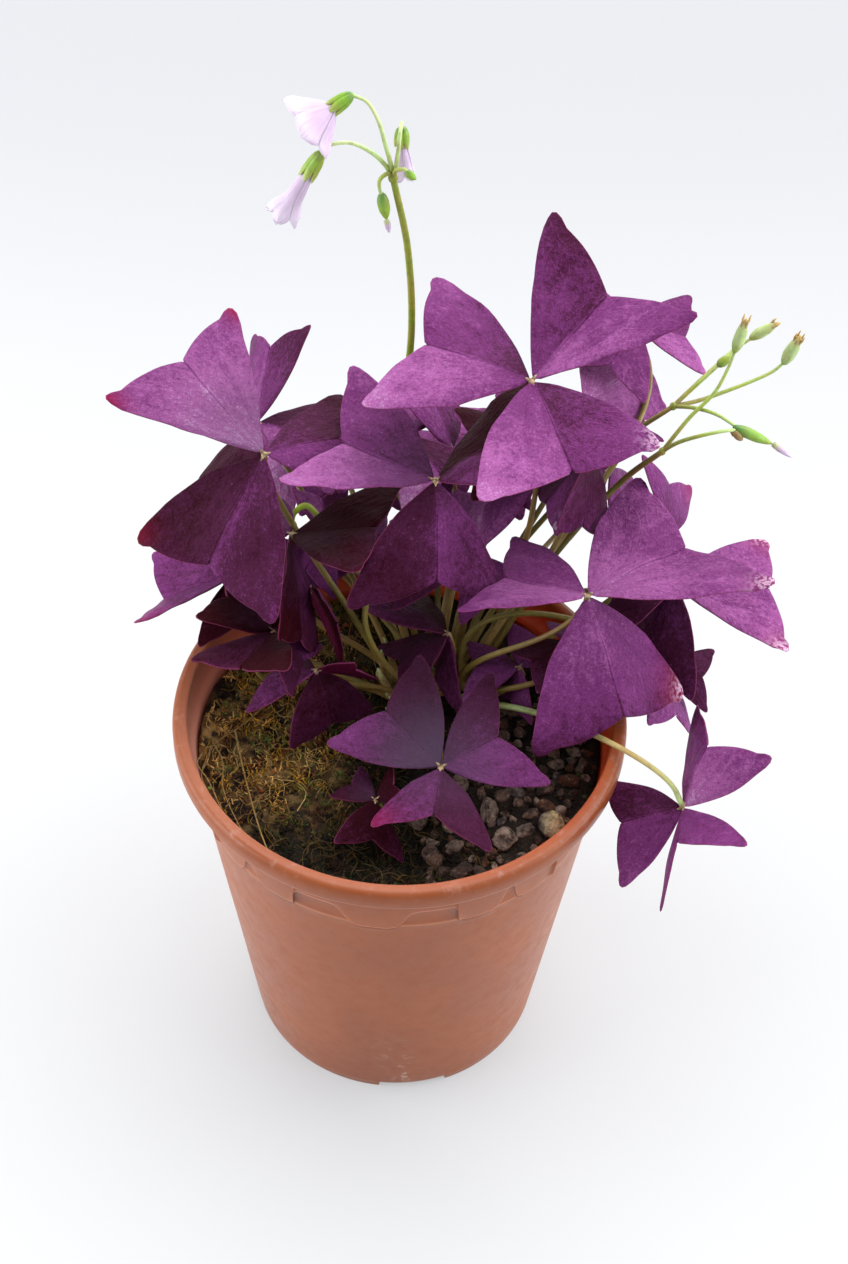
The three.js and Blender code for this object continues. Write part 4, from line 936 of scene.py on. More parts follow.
def make_stalks():
    stems = Builder("tint")
    chooser = random.Random(5)
    for number, leaf in enumerate(LEAVES, 1):
        names = PINK_TINTS
        if number != PINK_STALK:
            names = ["straw", *(chooser.choice(tints) for tints in STALK_TINTS)]
        add_stalk(stems, leaf_stalk(leaf), lambda t: np.interp(t, [0, 0.12, 0.9, 1], STALK_RADII), 8, names)
    for scape in (*SCAPES, CROZIER):
        add_stalk(stems, through(scape["points"], 60), lambda t: np.interp(t, [0, 1], scape["radii"]), 10,
                  SCAPE_TINTS[scape["tint"]])
    for i, points in enumerate(PEDICELS):
        add_stalk(stems, through(points, 26), lambda t: PEDICEL_RADIUS * (1 + 0.15 * np.cos(t * 3)), 8,
                  PEDICEL_TINTS[i < BLOOMING])
    for centre, radius in ((UMBEL, 1.35), (RIGHT_UMBEL_LOW, 1.1), (RIGHT_UMBEL_HIGH, 1.1)):
        add_ball(stems, centre, (radius, radius, radius * 1.2), tint=TINTS["scape"])
    runner = through([CROWN + [-2, -6, -3], CROWN + [-6, -24, -4], RUNNER_BASE], 16)
    add_tube(stems, runner, np.linspace(2.0, 1.2, len(runner)), 8, tint=TINTS["tan"])
    rhizome = ball(CROWN - [0, 0, 1.5], CROWN_RADII - [1.5, 1.0, 0.5], 12, 24).reshape(-1, 3)
    rhizome += wobble(rhizome, 5.0, 3)[:, None] * unit_rows(rhizome - CROWN)
    stems.add(rhizome, ring_faces(12, 24), tint=TINTS["tan"])
    stems.make("stems", [STALK], "stalk", "stalks")


# a dry, shrivelled stub that hangs on one pedicel
WITHERED = [[89.2, 45.2, 202.6], [90.6, 44.2, 202.2], [91.8, 44.5, 200.6], [92.6, 45.0, 199.4]]
WITHERED_RADII = np.array([0.6, 1.0, 1.2, 1.1, 1.2, 1.0, 0.9, 0.6, 0.3])


def spindle(part, rows, sides, profile, ridges):
    """Rings from a part's foot to its tip. The profile goes along the rows, and the ridges
    are a function of the row and the angle."""
    axis = Axis(part["foot"], part["tip"])
    rows, turns = rows[:, None], circle(sides)
    out = part["radius"] * np.interp(rows, *profile) * ridges(rows, turns)
    return axis, axis.points(rows * axis.length, out, turns)


def make_buds():
    """Green buds and seed pods of five overlapping sepals, with dry prongs on the old ones."""
    builder = Builder("tint")
    chooser = random.Random(11)
    rows, sides = np.linspace(0, 1, 15), 20
    profile = [0, 0.1, 0.3, 0.62, 0.85, 1.0], [0.35, 0.72, 1.0, 0.92, 0.55, 0.12]
    for bud in BUDS:
        axis, rings = spindle(bud, rows, sides, profile,
                              lambda t, turns: 0.95 + 0.09 * np.abs(np.cos(2.5 * turns + 2.2 * t)))
        names = ["young", "young", "pale"] if bud is BUDS[-1] else ["bud", "calyx", "calyx"]
        if bud["prongs"]:
            names = ["calyx", "pale", "pale", "straw"]
        builder.add(rings, ring_faces(15, sides), tint=np.repeat(blend_tints(names, rows), sides, axis=0))
        for k in range(bud["prongs"]):
            turn = 2 * math.pi * k / bud["prongs"] + 0.5
            side = axis.across * math.cos(turn) + axis.up * math.sin(turn)
            start = axis.foot + axis.along * axis.length * 0.78 + side * bud["radius"] * 0.4
            tip = (start + axis.along * (axis.length * 0.22 + chooser.uniform(0.2, 0.9))
                   + side * chooser.uniform(0.2, 0.7))
            middle = (start + tip) / 2 + side * 0.2
            add_tube(builder, [start, middle, tip], [0.5, 0.35, 0.12], 6,
                     tint=blend_tints(["pale", "tan", "straw"], np.linspace(0, 1, 3)))
    add_tube(builder, through(WITHERED, 8), WITHERED_RADII, 8, tint=TINTS["brown"])
    builder.make("buds", [STALK], "stalk", "stalks")


# ---- blooms ----

PETALS = 5
CUP_WALL = 0.6
PETAL_THICKNESS = 0.3


def make_calyx(builder, bloom):
    """Five pointed, overlapping sepals round the foot of a bloom."""
    axis = Axis(bloom["foot"], bloom["mouth"])
    cup, radius = bloom["cup"], bloom["cup_radius"]
    rows, w = np.linspace(0, 1, 14), np.linspace(-1, 1, 9)
    t = rows[:, None]
    width = 0.82 * np.sqrt(np.maximum(0, 1 - np.maximum(0, (t - 0.4) / 0.61) ** 1.35))
    out = radius * np.interp(t, [0, 0.12, 0.35, 0.75, 1], [0.25, 0.6, 0.84, 0.96, 0.92])
    out = out * (1 + 0.05 * (w + 1) - 0.12 * w * w) + 0.08 * np.cos(3 * w)
    for k in range(PETALS):
        grid = axis.points(cup * (t - 0.04), out, 2 * math.pi * k / PETALS + w * width)
        points, faces, index, _ = shell(grid[:, ::-1], PETAL_THICKNESS)
        shares = np.repeat(rows, len(w))[index]
        builder.add(points, faces, tint=blend_tints(["bud", "calyx", "calyx", "leek", "pale"], shares))
    core = [axis.foot + axis.along * s for s in (-0.3, 0.6, 2.0, cup * 0.45)]
    add_tube(builder, core, [0.5, 1.2, radius * 0.75, radius * 0.7], 12, tint=TINTS["calyx"])


def make_petals(number, bloom):
    """Five thin petals that overlap in a funnel, their lobes rounded and a little crinkled."""
    builder = Builder("turn", "reach", "tone")
    axis = Axis(bloom["foot"], bloom["mouth"])
    crinkle, throat, start = bloom["crinkle"], bloom["cup_radius"] - CUP_WALL - 0.5, bloom["cup"] * 0.35
    chooser = random.Random(20 + number)
    rows, w = np.sin(np.linspace(0, math.pi / 2, 22)), np.linspace(-1, 1, 15)
    t = rows[:, None]
    flare = np.interp(t, [0, 0.25, bloom["tube"] + 0.1, 0.85, 1], [0, 0.02, 0.42, 0.9, 1.0])
    reach = throat + (bloom["mouth_radius"] - throat) * flare
    width = 0.8 * bloom["width"] * np.sqrt(np.maximum(0.01, 1 - np.maximum(0, (t - 0.55) / 0.452) ** 3.2))
    for k in range(PETALS):
        phase = chooser.uniform(0, 6)
        out = reach * (1 - 0.12 * w * w * t) + 0.22 * w + 0.1
        out += crinkle * 0.35 * t ** 4 * np.sin(5.5 * w + phase)
        along = start + (axis.length - start) * t - 0.9 * t ** 5
        along = along + crinkle * 0.5 * t ** 6 * np.sin(7 * w + 1.7 * phase)
        grid = axis.points(along, out, 2 * math.pi * k / PETALS + w * width)
        points, faces, index, _ = shell(grid[:, ::-1], PETAL_THICKNESS)
        builder.add(points, faces, turn=np.tile(w[::-1], len(rows))[index] + 3 * k,
                    reach=np.repeat(rows, len(w))[index], tone=0.55)
    name = f"petals_{number}"
    builder.make(f"{name}_corolla", [PETAL], "petal", name)


def make_furled(petals):
    """Closed petals, rolled round each other into a spindle."""
    builder = Builder("turn", "reach", "tone")
    rows, sides = np.linspace(0, 1, 14), 20
    _, rings = spindle(petals, rows, sides, ([0, 0.3, 0.6, 0.9, 1], [0.85, 1.0, 0.85, 0.4, 0.12]),
                       lambda t, turns: 0.92 + 0.12 * np.cos(2.5 * (turns + 2.4 * t)) ** 2)
    builder.add(rings, ring_faces(14, sides), turn=np.tile(circle(sides), 14), reach=np.repeat(rows, sides),
                tone=1.0)
    builder.make(f"{petals['name']}_rolled", [PETAL], "petal", petals["name"])


# ---- pot ----

# lower edge of the collar against the share of the way from a tab to halfway to the next
BAND_LIMIT = 37.5
BAND_EDGE = [(0, 108), (4, 108), (6, 109), (8, 112.6), (9.5, 116.6), (12, 117.6), (21.4, 117.6),
             (22.2, 116.6), (22.6, 110.8), (24, 109.3), (27, 108.8), (33, 109), (34.4, 110.6),
             (35.4, 114), (36.5, 119), (37.5, 123.4)]
# shares where the edge bends, which get columns of their own
BAND_BENDS = (6, 7, 8, 9, 21.8, 22.2, 22.4, 22.6, 22.9, 23.3, 34.4, 35.4, 36)
LUG_PLACE = 22.5
LUG_WIDTH = 0.75
LUG_RISE = 0.9
FAINT_LINE = 108.9  # the collar's lower edge goes on as a faint line under the windows, a low ridge with a painted highlight
COLUMN_STEP = 1.25
DRAINS = [DRAIN_CENTRE + i * 360 / DRAIN_COUNT for i in range(DRAIN_COUNT)]
PLAIN_WALL = (20, 35, 50, 65, 80, 92, 100, 105)
# azimuth, height, half-width in degrees, half-height and strength of each scuff
SCUFFS = [(-92, 27, 5, 5, 0.8), (-86, 26, 4, 4, 0.7), (-84, 12, 5, 6, 0.8), (-30, 60, 9, 6, 0.3),
          (140, 70, 12, 9, 0.3), (40, 30, 9, 8, 0.3)]
GLOW_CENTRE = 40  # the azimuth where most light comes through the wall


def wall_radius(height):
    return FOOT_RADIUS + WALL_TAPER * height


def between(angle, other):
    """The turn from one angle to another, in degrees from -180 to 180."""
    return (other - angle + 180) % 360 - 180


def half_gap(tab, side):
    """Half the angle from a tab to the next one on a side."""
    other = TAB_CENTRES[(tab + side) % len(TAB_CENTRES)]
    return (other - TAB_CENTRES[tab]) * side % 360 / 2


def pot_columns():
    """Angle, collar edge, lug strength and drain notch of each column of the pot."""
    angles = set(np.arange(0, 360, COLUMN_STEP).tolist())
    for drain in DRAINS:
        for corner in (drain - DRAIN_WIDTH / 2, drain + DRAIN_WIDTH / 2):
            angles |= {round((corner + step) % 360, 3) for step in (-0.15, 0.15)}
    for tab, centre in enumerate(TAB_CENTRES):
        for side in (1, -1):
            angles |= {round((centre + side * bend / BAND_LIMIT * half_gap(tab, side)) % 360, 3)
                       for bend in BAND_BENDS}
    columns = []
    for angle in sorted(angles):
        offsets = [between(centre, angle) for centre in TAB_CENTRES]
        share = min(abs(offset) / half_gap(tab, 1 if offset >= 0 else -1) * BAND_LIMIT
                    for tab, offset in enumerate(offsets))
        edge = np.interp(share, *zip(*BAND_EDGE))
        lug = math.exp(-((share - LUG_PLACE) / LUG_WIDTH) ** 2)
        notch = any(abs(between(drain, angle)) < DRAIN_WIDTH / 2 for drain in DRAINS)
        columns.append((math.radians(angle), edge, lug, DRAIN_HEIGHT if notch else 0.0))
    return columns


# radius and height down the inside, from the lip to the middle of the floor
INSIDE = [(60.9, 131.7), (61.25, 128.5), (61.0, 126.5), (60.4, 123.5), (60.0, 120.9), (59.1, 120.2),
          (58.8, 119.4), (58.4, 116.0), (wall_radius(111) - WALL + 0.9, 112.4),
          (wall_radius(111) - WALL + 0.1, 111.4), (wall_radius(111) - WALL, 110.8), (52.0, 85.0),
          (48.6, 45.0), (wall_radius(FLOOR) - WALL, FLOOR + 1), (wall_radius(FLOOR) - WALL - 1, FLOOR),
          (20.0, FLOOR), (4.0, FLOOR)]


def pot_profile(edge, lug, notch):
    """The pot's section in one closed loop, from the middle of its underside: radius, height,
    and how much inside (with its painted light), dust, grime with painted shade and painted edge highlight
    show there."""
    rows = []

    def add(radius, height, inside_light=0.0, dust=0.0, grime_and_shade=0.0, painted_highlight=0.0):
        rows.append((radius, height, inside_light, dust, grime_and_shade, painted_highlight))

    # foot
    # grime and painted shade under the foot
    add(4.0, 1.0, grime_and_shade=0.3)
    add(27.0, 1.0, grime_and_shade=0.3)
    add(30.5, max(notch, 0.9), grime_and_shade=0.4)
    add(31.0, notch, grime_and_shade=0.5)
    add(FOOT_RADIUS - 0.6, notch, grime_and_shade=0.5)
    add(FOOT_RADIUS + 0.05, notch + 0.4, grime_and_shade=0.2, painted_highlight=0.3)
    # wall
    add(wall_radius(3.2), 3.2, grime_and_shade=0.1)
    add(wall_radius(8), 8, grime_and_shade=0.12)
    # grime and painted shade, darker towards the bottom of the wall
    for height in PLAIN_WALL:
        add(wall_radius(height), height, grime_and_shade=max(0.0, 0.12 - 0.0016 * height))
    for above, line in ((-0.7, 0), (-0.2, 0.45), (0.3, 0.45), (0.8, 0)):
        height = min(FAINT_LINE + above, edge - 1.4 + above * 0.1)
        add(wall_radius(height) + 0.25 * line, height, painted_highlight=line if edge > 110 else 0)
    # collar
    # painted shade under the collar's step and round the lug's rib, painted highlights on the step's
    # rounded edge
    rib = LUG_RISE * lug
    add(wall_radius(edge - 1.1), edge - 1.1, grime_and_shade=0.1 + 0.6 * lug)
    add(wall_radius(edge - 0.5) + 0.08 + rib, edge - 0.5, grime_and_shade=0.25 + 0.5 * lug)
    add(wall_radius(edge) + 0.55 + rib, edge - 0.1, grime_and_shade=0.6 * lug, painted_highlight=0.8)
    add(wall_radius(edge) + 0.85 + rib, edge + 0.25, grime_and_shade=0.5 * lug, painted_highlight=1.0)
    add(wall_radius(edge) + BAND_RISE + rib, edge + 0.7, grime_and_shade=0.3 * lug, painted_highlight=0.1)
    for share in (0.35, 0.7):
        height = edge + 0.7 + (BAND_TOP - 1.2 - edge - 0.7) * share
        add(wall_radius(height) + BAND_RISE, height)
    band = wall_radius(BAND_TOP) + BAND_RISE
    # painted shade under the band's top, a painted highlight on its rounded edge
    add(band - 0.15, BAND_TOP - 1.1, grime_and_shade=0.1)
    add(band + 0.02, BAND_TOP - 0.6, grime_and_shade=0.15)
    add(band + 0.5, BAND_TOP - 0.25, painted_highlight=0.6)
    add(band + 0.75, BAND_TOP + 0.2, painted_highlight=0.8)
    add(band + 0.55, BAND_TOP + 0.65, grime_and_shade=0.35)
    # lip
    # painted shade under the lip roll and a highlight on its edge; dust and grime on its top
    add(LIP_RADIUS - 1.1, LIP_BOTTOM + 0.5, grime_and_shade=0.4)
    add(LIP_RADIUS - 0.25, LIP_BOTTOM + 0.9, painted_highlight=0.5)
    add(LIP_RADIUS, LIP_BOTTOM + 1.6, dust=0.1, grime_and_shade=0.2, painted_highlight=0.1)
    add(LIP_RADIUS, 129.6, dust=0.1, grime_and_shade=0.24)
    add(LIP_RADIUS - 0.2, 130.8, dust=0.2, grime_and_shade=0.28)
    add(LIP_RADIUS - 0.7, 131.6, dust=0.4, grime_and_shade=0.3)
    add(LIP_RADIUS - 1.4, POT_HEIGHT, dust=0.5, grime_and_shade=0.28)
    add(63.0, POT_HEIGHT, 0.1, 0.4, 0.26)
    add(61.6, POT_HEIGHT, 0.2, 0.3, 0.2)
    for i, (radius, height) in enumerate(INSIDE):
        add(radius, height, min(1.0, 0.4 + 0.15 * i), 0.1, 0.1)
    return rows


def make_pot():
    builder = Builder("inside_light", "pale", "dust", "grime_and_shade", "scuff", "edge")
    columns = pot_columns()
    profiles = np.array([pot_profile(*column) for _, *column in columns])
    radius, height, inner, dust, grime_and_shade, edge = np.moveaxis(profiles, 2, 0)
    count, rows = radius.shape
    azimuth = np.array([column[0] for column in columns])[:, None]
    points = UPRIGHT.points(height, radius, azimuth)
    sway = wobble(points.reshape(-1, 3), 40.0, 2, 2).reshape(count, rows)
    points[:, :, :2] *= (1 - 0.0022 * np.abs(sway) * (inner == 0) * (height < PLAIN_WALL[-1]))[..., None]
    scuff = np.zeros((count, rows))
    for centre, middle, wide, tall, strength in SCUFFS:
        reach = (between(centre, np.degrees(azimuth)) / wide) ** 2 + ((height - middle) / tall) ** 2
        scuff += strength * np.exp(-reach)
    faces = []
    for i in range(count):
        after = (i + 1) % count
        for j in range(rows - 1):
            faces.append((i * rows + j, after * rows + j, after * rows + j + 1, i * rows + j + 1))
    faces.append(tuple(i * rows for i in range(count))[::-1])
    faces.append(tuple(i * rows + rows - 1 for i in range(count)))
    # painted light inside the pot: an orange red glow where light comes through the wall, paler painted
    # light on the inner wall elsewhere
    glow = 0.5 + 0.5 * np.cos(azimuth - math.radians(GLOW_CENTRE))
    looks = dict(inside_light=inner * glow, pale=inner * (1 - glow), dust=dust, grime_and_shade=grime_and_shade, edge=edge,
                 scuff=np.clip(scuff, 0, 1))
    builder.add(points, faces, **{name: value.ravel() for name, value in looks.items()})
    pot = builder.make("pot_shell", [POT], "pot_plastic", "pot")
    cutter = Builder()
    for drain in DRAINS:
        centre = from_angles(drain, 0) * DRAIN_HOLE_REACH
        add_tube(cutter, [centre + [0, 0, z] for z in (-2.0, 3.0, 6.0)], DRAIN_HOLE_RADIUS, 24)
    holes = cutter.make("drain_holes", [], "pot_plastic")
    cut = pot.modifiers.new("drain_holes", "BOOLEAN")
    cut.object, cut.operation, cut.solver = holes, "DIFFERENCE", "EXACT"
    graph = bpy.context.evaluated_depsgraph_get()
    pot.data = bpy.data.meshes.new_from_object(pot.evaluated_get(graph), depsgraph=graph)
    pot.modifiers.clear()
    bpy.data.objects.remove(holes)


# ---- soil, stones and litter ----

SOIL_EDGE = 58.1
LOOSE_EDGE = 57.0  # nothing loose lies further out
SOIL_SIDES = 180
PEBBLE = dict(centre=[43.5, -31, 120.6], radii=[4.3, 3.9, 3.4])
PEBBLE_CLEARANCE = 4.6
GRAVEL_COUNT = 125
GRAVEL_TRIES = 6000
GRAVEL_START = 18
GRAVEL_SECTOR = (-80, 28)
GRAVEL_SPACING = 0.82
GRAVEL_SIZES = [1.5, 2.0, 2.4, 2.8, 3.3, 3.8]
GRAVEL_TINTS = ["slate", "ash", "clay", "ash", "clay", "rust"]
TUFTS, SHOOTS = 420, 12
CRUMBS = 1000
FIBRES = 520
STUBS = 34
MOSSY = (95, 290)  # azimuths between which moss and fibres lie
FIBROUS = (95, 300)
# points and radius of the straws that lie in front of the crown
STRAWS = [
    ([[-47.8, 1.1, 119.5], [-46, -8, 122.5], [-42.7, -20.7, 122], [-37.3, -38, 121],
      [-33.5, -46.5, 120]], 0.38),
    ([[-55, -12, 120], [-55.5, -20, 124], [-52.5, -27, 124.5], [-48, -32, 121]], 0.3),
    ([[-56.5, -10, 121], [-56.6, -18, 126.5], [-52.5, -25, 127], [-46, -38, 121.5]], 0.32),
    ([[-54, -4, 120], [-50, -14, 123], [-49, -24, 123], [-41, -40, 120]], 0.26),
    ([[-40, 10, 119], [-46, 0, 122], [-53, -6, 121], [-56, -14, 120]], 0.28),
]


def soil_height(x, y):
    swell = np.sin(x * 0.11 + 1.3) * np.cos(y * 0.09 - 0.4)
    ripple = np.sin(x * 0.31 + y * 0.23) * np.sin(y * 0.37 - x * 0.17)
    dip = 3.5 * np.exp(-((x + 1) / 15) ** 2 - ((y + 42) / 12) ** 2)
    return SOIL_TOP + 0.8 * swell + 0.5 * ripple - dip


def mossiness(x, y):
    """1 on the mossy left and front of the soil, 0 on the gravel at the right front."""
    azimuth = np.degrees(np.arctan2(y, x))
    return np.clip((-70 - azimuth) / 25, 0, 1) + np.clip((azimuth - 95) / 40, 0, 1)


def dryness_and_painted_light(x, y):
    """1 on the dry back left of the soil, which is also painted lighter as if lit, 0 on its damp, darker
    front and right.
    """
    return np.clip((-6 - x) / 22, 0, 1) * np.clip((y + 40) / 24, 0, 1)


def ground(x, y, lift=0.0):
    return np.array([x, y, float(soil_height(x, y)) + lift])


def make_soil():
    """A lumpy top over a plain body that keeps clear of the pot."""
    builder = Builder("moss", "dry_and_lit")
    radii = np.append(np.linspace(1.5, 56, 56), [57.3, SOIL_EDGE])[:, None]
    angles = circle(SOIL_SIDES)
    level = UPRIGHT.points(0.0, radii, angles)
    lumps = wobble(level.reshape(-1, 3), 7.0, 1, 5).reshape(level.shape[:2])
    height = soil_height(level[..., 0], level[..., 1])
    height += 1.1 * lumps * np.minimum(1, (SOIL_EDGE - radii) / 3 + 0.3)
    height[-1] -= 1.2
    rings = [*UPRIGHT.points(height, radii, angles)]
    for radius, z in ((57.6, 113.0), (wall_radius(110) - WALL - 0.5, 110.0),
                      (wall_radius(FLOOR) - WALL - 0.6, FLOOR + 0.35), (20.0, FLOOR + 0.35)):
        rings.append(UPRIGHT.points(z, radius, angles))
    faces = [tuple(reversed(face)) for face in ring_faces(len(rings), SOIL_SIDES)]
    points = np.vstack(rings)
    x, y = points[:, 0], points[:, 1]
    builder.add(points, faces, moss=mossiness(x, y), dry_and_lit=dryness_and_painted_light(x, y))
    builder.make("soil_bed", [SOIL], "soil", "soil")


def icosphere(subdivisions):
    """Points and triangles of a round ball of radius 1."""
    mesh = bpy.data.meshes.new("ball")
    shape = bmesh.new()
    bmesh.ops.create_icosphere(shape, subdivisions=subdivisions, radius=1.0)
    shape.to_mesh(mesh)
    shape.free()
    points = np.array([v.co for v in mesh.vertices])
    faces = [tuple(p.vertices) for p in mesh.polygons]
    bpy.data.meshes.remove(mesh)
    return points, faces


CRUMB = icosphere(1)
FLATS = 9


def scatter(chooser, size):
    """A random step in space."""
    return np.array([chooser.gauss(0, size) for _ in "xyz"])


def rough_stone(base, centre, radii, chooser, rough=0.22):
    """A broken, pitted stone: a ball with flats cut on it, pushed in and out, squashed and
    turned."""
    points, faces = base
    seed = chooser.uniform(0, 90)
    for _ in range(FLATS):
        normal = unit(scatter(chooser, 1))
        over = np.maximum(0, points @ normal - chooser.uniform(0.55, 0.85))
        points = points - over[:, None] * normal
    push = 1 + rough * wobble(points, 0.9, seed, 2) + 0.3 * rough * wobble(points, 0.3, seed, 2)
    shaped = points * push[:, None] * np.array(radii)
    spin = Matrix.Rotation(chooser.uniform(0, 6.28), 3, "Z")
    spin = spin @ Matrix.Rotation(chooser.uniform(-0.7, 0.7), 3, "X")
    return shaped @ np.array(spin).T + np.asarray(centre, float), faces


def make_gravel():
    """Stones that don't overlap much, on the right front of the soil."""
    builder = Builder("tint")
    chooser = random.Random(3)
    base = icosphere(3)
    placed = [(*PEBBLE["centre"][:2], PEBBLE_CLEARANCE)]
    for _ in range(GRAVEL_TRIES):
        reach = GRAVEL_START + (LOOSE_EDGE - GRAVEL_START) * math.sqrt(chooser.random())
        azimuth = math.radians(chooser.uniform(*GRAVEL_SECTOR))
        size = chooser.choice(GRAVEL_SIZES)
        x, y = reach * math.cos(azimuth), reach * math.sin(azimuth)
        if reach + size > LOOSE_EDGE or any(
                math.hypot(x - a, y - b) < GRAVEL_SPACING * (size + c) for a, b, c in placed):
            continue
        placed.append((x, y, size))
        tint = TINTS[chooser.choice(GRAVEL_TINTS)] * chooser.uniform(0.3, 0.85)
        radii = [size * 1.15, size * chooser.uniform(0.7, 1.0), size * chooser.uniform(0.65, 0.9)]
        centre = ground(x, y, size * chooser.uniform(0.1, 0.45))
        builder.add(*rough_stone(base, centre, radii, chooser), tint=tint)
        if len(placed) == GRAVEL_COUNT:
            break
    builder.make("gravel", [GRIT], "stone", "soil")


def make_pebble():
    builder = Builder("tint")
    chooser = random.Random(8)
    points, faces = rough_stone(icosphere(4), PEBBLE["centre"], PEBBLE["radii"], chooser, 0.1)
    # painted light and shade: the pebble is lighter sand towards its top and right, darker slate towards
    # its lower left
    aside = (points[:, 0] - PEBBLE["centre"][0]) * 0.5 + (points[:, 2] - PEBBLE["centre"][2])
    share = np.clip(0.75 - aside / 6, 0, 1)
    tint = TINTS["sand"] * 1.5 * (1 - share[:, None]) + TINTS["slate"] * 0.6 * share[:, None]
    builder.add(points, faces, tint=tint)
    builder.make("pebble_rough", [GRIT], "stone", "pebble")


def scattered(chooser, low, high, sector, lift=0.0):
    """A random place on the soil between two radii and two azimuths."""
    reach = math.sqrt(chooser.uniform(low ** 2, high ** 2))
    azimuth = math.radians(chooser.uniform(*sector))
    return ground(reach * math.cos(azimuth), reach * math.sin(azimuth), lift)


def make_moss():
    """Short shoots that stand close together over the left and front of the soil, and
    crumbs all over it."""
    builder = Builder("tint")
    chooser = random.Random(17)
    for tuft in [scattered(chooser, 8, 56.5, MOSSY) for _ in range(TUFTS)]:
        dry_and_lit = float(dryness_and_painted_light(*tuft[:2]))
        name = chooser.choice(["gold", "tan", "tan", "rust", "brown", "moss"] if chooser.random() < dry_and_lit
                              else ["moss", "dark", "moss", "dark", "rust", "olive"])
        # painted light: shoots on the dry back left are made much brighter
        light = 0.34 + 2.6 * dry_and_lit
        size = chooser.uniform(0.7, 1.3)
        for _ in range(SHOOTS):
            foot = tuft + [chooser.gauss(0, 1.3), chooser.gauss(0, 1.3), -0.3]
            if math.hypot(*foot[:2]) > LOOSE_EDGE:
                continue
            lean = np.array([chooser.gauss(0, 0.5), chooser.gauss(0, 0.5), 1.0])
            tip = foot + lean * size * chooser.uniform(1.2, 2.6)
            middle = (foot + tip) / 2 + [chooser.gauss(0, 0.25), chooser.gauss(0, 0.25), 0.2]
            tint = TINTS[name] * chooser.uniform(0.25, 0.85) * light
            add_tube(builder, [foot, middle, tip], [0.24, 0.2, 0.06], 4, tint=tint)
    ball_points, faces = CRUMB
    for _ in range(CRUMBS):
        place = scattered(chooser, 3, LOOSE_EDGE, (0, 360), 0.1)
        size = chooser.uniform(0.35, 1.1)
        points = place + ball_points * size * [1, chooser.uniform(0.5, 1), chooser.uniform(0.4, 0.9)]
        points = points + np.array([scatter(chooser, 0.18 * size) for _ in points])
        tint = TINTS[chooser.choice(["dark", "dark", "rust", "dark", "moss"])] * chooser.uniform(0.4, 1.2)
        # painted light: crumbs on the dry back left are made much brighter
        builder.add(points, faces, tint=tint * (0.55 + 2.8 * float(dryness_and_painted_light(*place[:2]))))
    builder.make("moss_and_crumbs", [LITTER], "soil", "soil")


def make_fibres():
    """Dry grass, root fibres and the old leaf bases that stand round the crown."""
    builder = Builder("tint")
    chooser = random.Random(29)
    for points, radius in STRAWS:
        line = through(points, 24)
        add_tube(builder, line, radius * np.linspace(0.85, 0.45, len(line)), 6,
                 tint=blend_tints(["straw", "tan", "straw"], np.linspace(0, 1, len(line))) * 0.65)
    for _ in range(FIBRES):
        start = scattered(chooser, 6, 55, FIBROUS, 0.6)
        heading = chooser.uniform(0, 2 * math.pi)
        reach = chooser.uniform(4, 14)
        points = [start]
        for step in (0.35, 0.7, 1.0):
            place = start[:2] + np.array([math.cos(heading), math.sin(heading)]) * reach * step
            heading += chooser.uniform(-0.6, 0.6)
            place *= min(1.0, 56.0 / (math.hypot(*place) + 1e-6))
            points.append(ground(*place, chooser.uniform(0.3, 2.2)))
        # painted light: fibres on the dry back left are made brighter
        light = 0.5 + 1.7 * float(dryness_and_painted_light(*start[:2]))
        tint = TINTS[chooser.choice(["straw", "gold", "rust", "tan", "brown"])]
        tint = tint * chooser.uniform(0.15, 0.6) * light
        add_tube(builder, through(points, 9), chooser.uniform(0.07, 0.17), 4, tint=tint)
    for _ in range(STUBS):
        out = from_angles(math.degrees(chooser.uniform(0, 2 * math.pi)), 0)
        foot = CROWN + CROWN_RADII * chooser.uniform(0.35, 1.0) * out + [0, 0, 4.0]
        lean = unit(0.35 * out + [0, 0, 1] + scatter(chooser, 0.2))
        height = chooser.uniform(5, 19)
        line = [foot + lean * height * t + scatter(chooser, 0.25) for t in (0, 0.3, 0.6, 0.85, 1)]
        tint = blend_tints(["tan", chooser.choice(["straw", "pink", "tan"]), "straw", "cream"],
                           np.linspace(0, 1, 5)) * chooser.uniform(0.6, 1.0)
        add_tube(builder, line, np.array([1.5, 1.35, 1.1, 0.9, 0.35]) * chooser.uniform(0.6, 1.1), 7,
                 lobes=0.12, tint=tint)
    builder.make("straw_and_stubs", [LITTER], "soil", "soil")


# ---- light, floor and camera ----

FLOOR_REACH = 6.0
SENSOR = 36.0


def make_camera():
    """Stands in front of the pot and looks down on it."""
    elevation, roll = math.radians(48.64), math.radians(1.77)
    distance, target = 660.5, Vector((6.15, 0.0, 165.8))
    long_side, focal_pixels = 1264, 2400
    back = Vector((0, -math.cos(elevation), math.sin(elevation)))
    up = Vector((0, math.sin(elevation), math.cos(elevation)))
    right = Vector((1, 0, 0))
    right, up = (math.cos(roll) * right + math.sin(roll) * up,
                 -math.sin(roll) * right + math.cos(roll) * up)
    camera = bpy.data.objects.new("camera", bpy.data.cameras.new("camera"))
    bpy.context.scene.collection.objects.link(camera)
    turn = Matrix((right, up, back)).transposed().to_4x4()
    camera.matrix_world = Matrix.Translation((target + back * distance) * MM) @ turn
    camera.data.sensor_width = SENSOR
    camera.data.lens = focal_pixels / long_side * SENSOR
    camera.data.clip_start, camera.data.clip_end = 0.01, 20.0
    bpy.context.scene.camera = camera


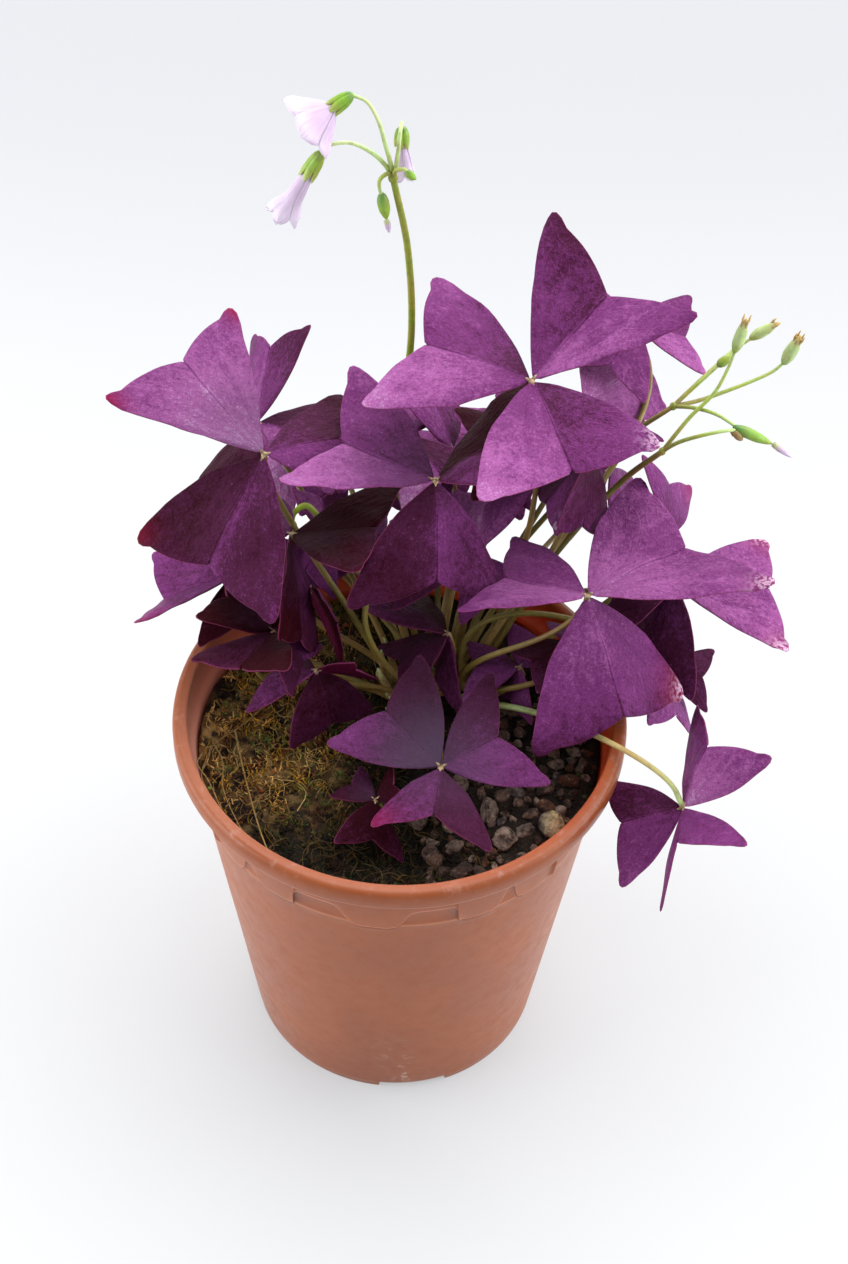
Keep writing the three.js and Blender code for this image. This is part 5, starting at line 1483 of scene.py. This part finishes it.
def add_light(name, kind, place, aim, energy, size, colour):
    """A sun, whose size is its angle in degrees, or a square area light in metres."""
    data = bpy.data.lights.new(name, kind)
    data.energy = energy
    data.color = colour
    if kind == "SUN":
        data.angle = math.radians(size)
    else:
        data.size = size
    light = bpy.data.objects.new(name, data)
    bpy.context.scene.collection.objects.link(light)
    light.location = place
    light.rotation_mode = "QUATERNION"
    light.rotation_quaternion = (Vector(aim) - Vector(place)).to_track_quat("-Z", "Y")


def make_room():
    """Soft light all round, strongest from above and behind."""
    world = bpy.data.worlds.new("studio")
    world.use_nodes = True
    tree = world.node_tree
    background = tree.nodes["Background"]
    background.inputs["Color"].default_value = (0.96, 0.97, 1.0, 1.0)
    coordinates = tree.nodes.new("ShaderNodeTexCoord")
    towards = tree.nodes.new("ShaderNodeVectorMath")
    towards.operation = "DOT_PRODUCT"
    towards.inputs[1].default_value = unit([0.3, 0.5, 0.8])
    spread = tree.nodes.new("ShaderNodeMapRange")
    for key, value in (("From Min", -0.5), ("From Max", 1.0), ("To Min", 0.3), ("To Max", 1.3)):
        spread.inputs[key].default_value = value
    tree.links.new(coordinates.outputs["Generated"], towards.inputs[0])
    tree.links.new(towards.outputs["Value"], spread.inputs["Value"])
    tree.links.new(spread.outputs[0], background.inputs["Strength"])
    bpy.context.scene.world = world


def make_studio():
    """A broad window light from behind, a soft fill from each side, and a pale table that
    glows a little."""
    scene = bpy.context.scene
    scene.view_settings.view_transform = "Standard"
    make_room()
    add_light("window", "SUN", (0.2, 0.6, 0.78), (0, 0, 0), 3.1, 85, (1.0, 0.99, 0.98))
    add_light("fill_right", "AREA", (1.0, -0.05, 0.4), (0, 0, 0.1), 8.0, 0.9, (0.95, 0.96, 1.0))
    add_light("fill_left", "AREA", (-1.0, -0.1, 0.35), (0, 0, 0.05), 11.0, 0.9, (0.95, 0.97, 1.0))
    mesh = bpy.data.meshes.new("floor")
    corners = [(-1, -1), (1, -1), (1, 1), (-1, 1)]
    mesh.from_pydata([(x * FLOOR_REACH, y * FLOOR_REACH, 0) for x, y in corners], [], [range(4)])
    floor = bpy.data.objects.new("floor", mesh)
    scene.collection.objects.link(floor)
    paper = Shader("paper", Specular_IOR_Level=0.1, Emission_Strength=1.15)
    depth = paper.node("ShaderNodeSeparateXYZ", paper.place)
    # painted shade: the table is darker further back, as light falls off; its glow takes the same colour
    near = paper.mix(paper.noise(3.0), "98999A", "9A9B9C")
    far = paper.mix(paper.noise(3.0), "8B8C8E", "8D8E90")
    paper.colour = paper.mix(paper.span(depth.outputs["Y"], 0.1, 0.5), near, far)
    paper.feed(paper.bsdf, "Emission Color", paper.colour)
    mesh.materials.append(paper.finish(0.8))


# ---- the whole ----

make_camera()
make_studio()
make_pot()
make_soil()
make_gravel()
make_pebble()
make_moss()
make_fibres()
make_stalks()
make_buds()
calyces = Builder("tint")
for bloom in BLOOMS:
    make_calyx(calyces, bloom)
calyces.make("calyces", [STALK], "stalk", "stalks")
for number, leaf in enumerate(LEAVES, 1):
    make_leaf(number, leaf)
for number, bloom in enumerate(BLOOMS, 1):
    make_petals(number, bloom)
for petals in FURLED_PETALS:
    make_furled(petals)
